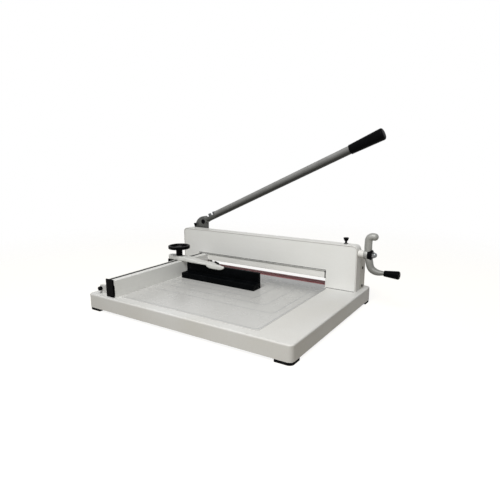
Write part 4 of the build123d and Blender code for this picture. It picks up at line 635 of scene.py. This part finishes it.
dress(rolled_steel("ground_tool_steel", "c9cacb", "a9aaab", 0.22, along_z), "blade")
carrier_paint = cast_metal("painted_carrier", "6f7274", "5c5f61",
                           rough=0.5, grain_size=0.003, metal=0.0, bite=0.25)
dress(carrier_paint, "blade_carrier")
dress(black_oxide, "blade_bolts")
dress(primed_iron, "idler_crank")


# The clamp screw and its crank: an oiled steel screw in a collar, turned by a crank with two bent arms.
# The crank is die-cast aluminium, tumbled to a soft grey, and its lower arm is painted darker as painted
# shade.
# A knee of its middle line is a distance out from the spine, a height above the screw and a radius, in mm.

def curve_through(points, steps):
    """A smooth curve through points: each span is the cubic that passes its two ends in the direction
    of the line between their neighbours, with the first and last point counted twice."""
    held = np.concatenate((points[:1], points, points[-1:]))
    a, b, c, d = (held[i:len(held) - 3 + i, None] for i in range(4))
    s = np.linspace(0, 1, steps, endpoint=False)[None, :, None]
    spans = 0.5 * (2 * b + (c - a) * s + (2 * a - 5 * b + 4 * c - d) * s ** 2
                   + (3 * b - a - 3 * c + d) * s ** 3)
    return np.concatenate((spans.reshape(-1, points.shape[1]), points[-1:]))


dress(rolled_steel("oiled_screw_steel", "8e8e8c", "6d6d6b", 0.35, along_y), "clamp_screw", "screw_collar")
screw_low, screw_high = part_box("clamp_screw")
grip_low, grip_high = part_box("crank_grip")
screw_y, screw_z = (screw_low.y + screw_high.y) / 2, (screw_low.z + screw_high.z) / 2
hub_gap, spine_out, knee_steps, arm_sides = 0.0003, 0.010, 8, 32
hub_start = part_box("crank_boss")[1].x + hub_gap
knees = np.array(((14, 46.8, 9.4), (8, 46.8, 9.5), (2.6, 44.2, 9.6), (-0.6, 38.6, 9.6), (-1.2, 30, 9.6),
                  (-1.2, 18, 9.7), (-0.6, 6, 9.2), (0.6, -8, 9.2), (3.2, -18, 9.6), (5.2, -27, 9.4),
                  (9.6, -35.6, 9.2), (17.5, -41.0, 8.8), (27, -43.3, 7.6), (36, -43.5, 6.2),
                  (42.3, -43.5, 5.4))) / 1000
knees[-3:, 1] = (grip_low.z + grip_high.z) / 2 - screw_z
drawn = curve_through(knees, knee_steps)
spine = hub_start + spine_out
line = np.stack((spine + drawn[:, 0], np.full(len(drawn), screw_y), screw_z + drawn[:, 1]), axis=1)
run = np.gradient(line, axis=0)
run /= np.linalg.norm(run, axis=1, keepdims=True)
# The dome on the upper end stops short of its pole, so that it closes in a small face and not in a point.
dome_rings, dome_share = 8, 0.98
dome = np.linspace(math.pi / 2, 0, dome_rings + 1)[:-1] * dome_share
line = np.concatenate((line[:1] - run[:1] * (drawn[0, 2] * np.sin(dome))[:, None], line))
girth = np.concatenate((drawn[0, 2] * np.cos(dome), drawn[:, 2]))
run = np.concatenate((np.repeat(run[:1], dome_rings, axis=0), run))
side = np.array((0.0, 1.0, 0.0))
lift = np.cross(run, side)
turn = np.linspace(0, 2 * math.pi, arm_sides, endpoint=False)
ring = np.cos(turn)[None, :, None] * side + np.sin(turn)[None, :, None] * lift[:, None]
arms = line[:, None] + girth[:, None, None] * ring
screw_end, outward, sideways = (hub_start, screw_y, screw_z), (1, 0, 0), (0, 1, 0)
hub = turned(((0, 8, 0), (0, 11.4, 0), (0.9, 12.3, 0), (2.2, 12.5, 0), (9, 12.5, 0), (10.2, 12.2, 0),
              (10.6, 11, 0)), screw_end, outward, sideways)
# The crank's painted shade: its lower arm is mixed darker below one height, fading out above another.
shaded_below, lit_above = 0.104, 0.152
crank_skin = cast_metal("tumbled_cast_aluminium", "a3a39f", "8b8b87",
                        rough=0.5, grain_size=0.0022, metal=0.3, bite=0.25,
                        lower_shade=("767672", shaded_below, lit_above))
crank_casting = shape("crank_casting", *joined(arms, hub), crank_skin, True)
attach(crank_casting, "screw")
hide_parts("clamp_crank")


# Crank collar and cap nut: a black nylon collar lies round the arms at the hub, put there as painted shade
# for the dark gap between hub and nut, and a zinc-plated cap nut with a domed end holds the crank on the
# screw.
# A black phenolic grip turns on the lower arm's end.

collar = turned(((9.8, 11, 0), (9.8, 12.4, 0), (10.4, 13, 0), (19.5, 13, 0), (20.2, 12.3, 0), (20.2, 6, 0)),
                screw_end, outward, sideways)
crank_shade_collar = shape("crank_shade_collar", *joined(collar), black_nylon, True)
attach(crank_shade_collar, "screw")
nut = turned(((20, 5.6, 1), (20.2, 6.9, 1), (25.2, 6.9, 1), (26, 6.6, 0.3), (26.2, 6.3, 0), (28.2, 6, 0),
              (29.9, 5.1, 0), (31.2, 3.5, 0), (31.9, 1.5, 0), (32, 0.2, 0)), screw_end, outward, sideways)
nut_zinc = plated_steel("bright_cap_nut", "8d8f90", "626465", 0.28)
cap_nut = shape("cap_nut", *joined(nut), nut_zinc, True)
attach(cap_nut, "screw")
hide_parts("crank_nut")
grip_phenolic = moulded("black_phenolic_grip", "020203", "08080a", rough=0.34, grain_size=0.0012, bite=0.12)
dress(grip_phenolic, "crank_grip")


# The clamp: a brass nut on the screw draws a slide along, and its slanted slots push the bar's pins down.
# The bar and its posts are powder-coated white, lighter than the hood as painted light that makes up for the
# housing's shade over them. The cutting tool leaves faint marks on the brass; the real ones are under 0.2 mm,
# and they are drawn at 2 mm so that they show.

mark_size = 0.002
turned_brass, tree, shader, place = new_finish("turned_brass", {"Metallic": 1.0})
marks = add(tree, "ShaderNodeTexNoise", {}, {"Vector": place, "Scale": 1 / mark_size, "Detail": 3.0})
tint = add(tree, "ShaderNodeMix", colours,
           {0: marks.outputs["Fac"], 6: linear("c9a35a"), 7: linear("a9823e")})
sheen = add(tree, "ShaderNodeMapRange", {}, {0: marks.outputs["Fac"], **noise_span, 3: 0.25, 4: 0.4})
couple(tree, shader, tint, sheen)
dress(turned_brass, "drive_nut")
# Painted light: the clamp's white is lighter than the hood's, to make up for the housing's shade.
dress(powder_coat("clamp_powder_coat", "ecebe7", "e3e2dc", 0.4), "clamp_bar", "guide_posts")


# The back gauge's stop: a black anodised aluminium angle, screwed to the arm, that paper is pushed against.
# Dyed anodising is as dark and dull as a moulding, so it is made up like one, with the finest grain.

dyed_angle = moulded("black_anodised_stop", "030405", "08090b", rough=0.45, grain_size=0.0011, bite=0.12)
dress(dyed_angle, "gauge_stop")


# The back gauge's arm: a painted casting over the fence and the stop, with a round end under the handwheel.
# It slopes down to a thinner beam and ends in a lip that hangs in front of the stop. The two bodies overlap
# and are fused, then smoothed as fettling smooths a casting.

def lofted(along, middle_y, half_y, middle_z, half_z, power, around=48):
    """A body along x whose sections are rounded boxes: cosine and sine of the turn, each raised to 2 / power
    and keeping its sign, times half the width and half the height of the section, about its middle."""
    turn = np.linspace(0, 2 * math.pi, around, endpoint=False)
    wide = np.sign(np.cos(turn)) * np.abs(np.cos(turn)) ** (2 / power)
    tall = np.sign(np.sin(turn)) * np.abs(np.sin(turn)) ** (2 / power)
    flat = np.broadcast_to(along[:, None], (len(along), around))
    y, z = middle_y[:, None] + half_y[:, None] * wide, middle_z[:, None] + half_z[:, None] * tall
    return np.stack((flat, y, z), axis=2)


arm_low, arm_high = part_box("gauge_arm")
stop_low, stop_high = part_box("gauge_stop")
beam_end, round_end, beam_power = -0.112, 0.0135, 7.0
end_rings, beam_rings, least_bow = 16, 71, 0.0004
slope_start, slope_run, beam_thickness = -0.251, 0.077, 0.0058
beam_under, stop_step, step_run = 0.0883, 0.0009, 0.004
taper_start, taper_run, taper_back = -0.152, 0.032, 0.0386
ease = (1 - np.cos(np.linspace(0, math.pi / 2, end_rings))) * round_end
along = np.concatenate((arm_low.x + ease, np.linspace(arm_low.x + round_end, beam_end, beam_rings)[1:]))
bow = np.sqrt(np.clip(1 - (1 - np.clip((along - arm_low.x) / round_end, 0, 1)) ** 2, least_bow, 1))
fall = np.clip((along - slope_start) / slope_run, 0, 1)
fall = fall * fall * (3 - 2 * fall)
top = arm_high.z - fall * (arm_high.z - stop_high.z - beam_thickness)
under = beam_under - stop_step * np.clip((along - stop_low.x + step_run) / step_run, 0, 1)
back = arm_high.y - (arm_high.y - taper_back) * np.clip((along - taper_start) / taper_run, 0, 1)
front = np.full(len(along), arm_low.y)
beam = lofted(along, (front + back) / 2, (back - front) / 2 * bow,
              (top + under) / 2, (top - under) / 2, beam_power)

lip_middle, lip_half, lip_y, lip_width, lip_power = -0.1285, 0.0315, 0.0343, 0.0042, 3.2
lip_top, lip_root, lip_sag, lip_drop = 0.0925, 0.0885, 0.0035, 0.0093
lip_blunt, lip_full, lip_rings = 3.0, 2.2, 49
least_width, least_height = 0.0006, 0.0004
out = np.sin(np.linspace(-1, 1, lip_rings) * math.pi / 2)
bulge = (1 - np.abs(out) ** lip_blunt) ** (1 / lip_full)
upper = lip_top - lip_sag * (1 - bulge)
lower = lip_root - lip_drop * bulge
lip = lofted(lip_middle + lip_half * out, np.full(lip_rings, lip_y),
             np.maximum(lip_width * bulge ** 0.5, least_width), (upper + lower) / 2,
             np.maximum((upper - lower) / 2, least_height), lip_power)
arm_paint = cast_metal("painted_cast_arm", "d6d6d2", "cacac5",
                       rough=0.42, grain_size=0.0026, metal=0.0, bite=0.2)
arm_casting = shape("arm_casting", *joined(beam, lip), arm_paint, True)
fuse = arm_casting.modifiers.new("fuse", "REMESH")
fuse.mode = "VOXEL"
fuse.voxel_size = 0.0008
fuse.use_smooth_shade = True
fettle = arm_casting.modifiers.new("fettle", "SMOOTH")
fettle.iterations = 8
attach(arm_casting, "gauge")
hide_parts("gauge_arm")


# Arm buffer: a strip of black rubber glued along the arm's slanted end, with softened edges.
# It keeps a stack of paper from chipping the paint.

buffer_left, buffer_right, buffer_shift = -0.1475, -0.1235, (0.0014, 0.0022)
buffer_width, buffer_gap, buffer_top, buffer_bevel = 0.0044, 0.0003, 0.0966, 0.0012
ends = np.linspace(buffer_left, buffer_right, 9)
edge = arm_high.y - (arm_high.y - taper_back) * (ends - taper_start) / taper_run
path = np.stack((ends + buffer_shift[0], edge + buffer_shift[1]), axis=1)
buffer = strip(path, buffer_width, stop_high.z + buffer_gap, buffer_top)
arm_buffer = shape("arm_buffer", *joined(buffer), foot_rubber)
soft_edge = arm_buffer.modifiers.new("soft_edge", "BEVEL")
soft_edge.width = buffer_bevel
soft_edge.segments = 3
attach(arm_buffer, "gauge")


# The gauge's slider, shoe and handwheel: nylon blocks that run on the rod and in the fence's slot, and a
# scalloped black phenolic wheel on a ground steel stud that clamps them.

dress(black_nylon, "gauge_slider", "gauge_shoe")
wheel_phenolic = moulded("black_phenolic_wheel", "030304", "09090b", rough=0.34, grain_size=0.0012, bite=0.12)
dress(wheel_phenolic, "gauge_knob")
dress(ground_pin, "gauge_stud")


# The clamp lock: a plunger in a bush in the hood's top, lifted by a small black knob. The plunger is turned
# and blackened steel with a pressed-on ABS head, and the bush is phosphated a dull grey.

dress(blackened("phosphated_bush", "4b4c4c", "6a6b6b", 0.5), "lock_bush")
dress(black_oxide, "lock_plunger")
dress(black_abs, "lock_knob")


# The studio floor: a pale disc just under the feet that fades out into the white background.
# It keeps the machine's shadow, and glows only for the rays that show it.

def shown(tree):
    """An output that is one for the rays that show a surface: seen, mirrored or through glass."""
    rays = add(tree, "ShaderNodeLightPath")
    seen = add(tree, "ShaderNodeMath", {"operation": "MAXIMUM"},
               {0: rays.outputs["Is Camera Ray"], 1: rays.outputs["Is Glossy Ray"]})
    seen = add(tree, "ShaderNodeMath", {"operation": "MAXIMUM"},
               {0: seen.outputs[0], 1: rays.outputs["Is Transmission Ray"]})
    return seen.outputs[0]


floor_radius, floor_drop, floor_rings, floor_sides = 2.4, 0.0004, 24, 96
floor_spread, fade_start, fade_end, floor_glow, white = 1.5, 0.65, 1.7, 0.9, (1, 1, 1, 1)
turn = np.linspace(0, 2 * math.pi, floor_sides + 1)[:-1]
reach = np.linspace(0.0, 1.0, floor_rings + 1)[1:] ** floor_spread * floor_radius
flat = np.zeros((floor_rings, floor_sides))
rings = np.stack((np.outer(reach, np.cos(turn)), np.outer(reach, np.sin(turn)), flat), axis=2)
points = np.concatenate(([(0.0, 0.0, 0.0)], rings.reshape(-1, 3))) - (0, 0, floor_drop)
at = 1 + np.arange(floor_rings * floor_sides).reshape(floor_rings, floor_sides)
quads = np.stack((at[:-1], at[1:], np.roll(at[1:], -1, 1), np.roll(at[:-1], -1, 1)), axis=2).reshape(-1, 4)
fan = [[0, a, b] for a, b in zip(at[0].tolist(), np.roll(at[0], -1).tolist())]

pale_floor = bpy.data.materials.new("pale_floor")
pale_floor.use_nodes = True
tree = pale_floor.node_tree
tree.nodes.clear()
place = add(tree, "ShaderNodeTexCoord").outputs["Object"]
lift = add(tree, "ShaderNodeMath", {"operation": "MULTIPLY"}, {0: shown(tree), 1: floor_glow})
matt = add(tree, "ShaderNodeBsdfDiffuse", {}, {"Color": linear("7e7664")})
glow = add(tree, "ShaderNodeEmission", {}, {"Color": white, "Strength": lift.outputs[0]})
ground = add(tree, "ShaderNodeAddShader", {}, {0: matt.outputs[0], 1: glow.outputs[0]})
far = add(tree, "ShaderNodeVectorMath", {"operation": "LENGTH"}, {0: place})
fade = add(tree, "ShaderNodeMapRange", {"interpolation_type": "SMOOTHSTEP"},
           {0: far.outputs["Value"], 1: fade_start, 2: fade_end, 3: 0.0, 4: 1.0})
clear = add(tree, "ShaderNodeBsdfTransparent")
blend = add(tree, "ShaderNodeMixShader", {}, {0: fade.outputs[0], 1: ground.outputs[0], 2: clear.outputs[0]})
add(tree, "ShaderNodeOutputMaterial", {}, {"Surface": blend.outputs[0]})
studio_floor = shape("studio_floor", points, fan + quads.tolist(), pale_floor)


# The studio light: a white background that gives only a little light, a large soft box above and in front,
# and a small one low down that lifts the front right corner.

scene = bpy.context.scene
scene.view_settings.view_transform = "Standard"
soft_light, shown_light = 0.17, 1.0
studio = bpy.data.worlds.new("studio")
scene.world = studio
studio.use_nodes = True
tree = studio.node_tree
tree.nodes.clear()
soft = add(tree, "ShaderNodeBackground", {}, {"Color": white, "Strength": soft_light})
bright = add(tree, "ShaderNodeBackground", {}, {"Color": white, "Strength": shown_light})
mixed = add(tree, "ShaderNodeMixShader", {}, {0: shown(tree), 1: soft.outputs[0], 2: bright.outputs[0]})
add(tree, "ShaderNodeOutputWorld", {}, {"Surface": mixed.outputs[0]})


def set_up(name, kind, right, up, back, spot):
    """Stands a lamp or a camera at its spot, with its own three axes; it looks away from its back axis."""
    held = bpy.data.objects.new(name, kind)
    scene.collection.objects.link(held)
    grid = np.eye(4)
    grid[:3, 0], grid[:3, 1], grid[:3, 2], grid[:3, 3] = right, up, back, spot
    held.matrix_world = Matrix(grid.tolist())
    return held


def soft_box(name, spot, aim, size, watts):
    """A square lamp that faces a point: its back axis runs from the point to the lamp."""
    lamp = bpy.data.lights.new(name, "AREA")
    lamp.shape = "SQUARE"
    lamp.size = size
    lamp.energy = watts
    back = np.subtract(spot, aim)
    back = back / np.linalg.norm(back)
    right = np.cross((0, 0, 1), back)
    right = right / np.linalg.norm(right)
    set_up(name, lamp, right, np.cross(back, right), back, spot)


soft_box("front_box", spot=(0.3, -0.95, 1.4), aim=(0.0, 0.0, 0.1), size=0.7, watts=26.8)
soft_box("corner_box", spot=(0.24, -0.95, 0.22), aim=(0.24, -0.2, 0.02), size=0.25, watts=0.4)


# The camera: it stands in front of the machine and to its right, higher than the housing, and looks down.
# Its heading, dip, roll, focal length and place are those that fit the photograph's perspective.

camera_spot = (0.6024, -0.8934, 0.3865)
heading, dip, roll = math.radians(33.37), math.radians(12.15), math.radians(-0.31)
focal_pixels, picture_pixels, sensor_width = 430.87, 500, 36.0
ahead = np.array((-math.sin(heading) * math.cos(dip), math.cos(heading) * math.cos(dip), -math.sin(dip)))
right = np.array((math.cos(heading), math.sin(heading), 0.0))
up = np.cross(right, ahead)
right, up = math.cos(roll) * right + math.sin(roll) * up, math.cos(roll) * up - math.sin(roll) * right
lens = bpy.data.cameras.new("photo_camera")
lens.sensor_width = sensor_width
lens.lens = focal_pixels / picture_pixels * sensor_width
lens.shift_x, lens.shift_y = -0.001, 0.001
lens.clip_start, lens.clip_end = 0.01, 50.0
scene.camera = set_up("photo_camera", lens, right, up, -ahead, camera_spot)
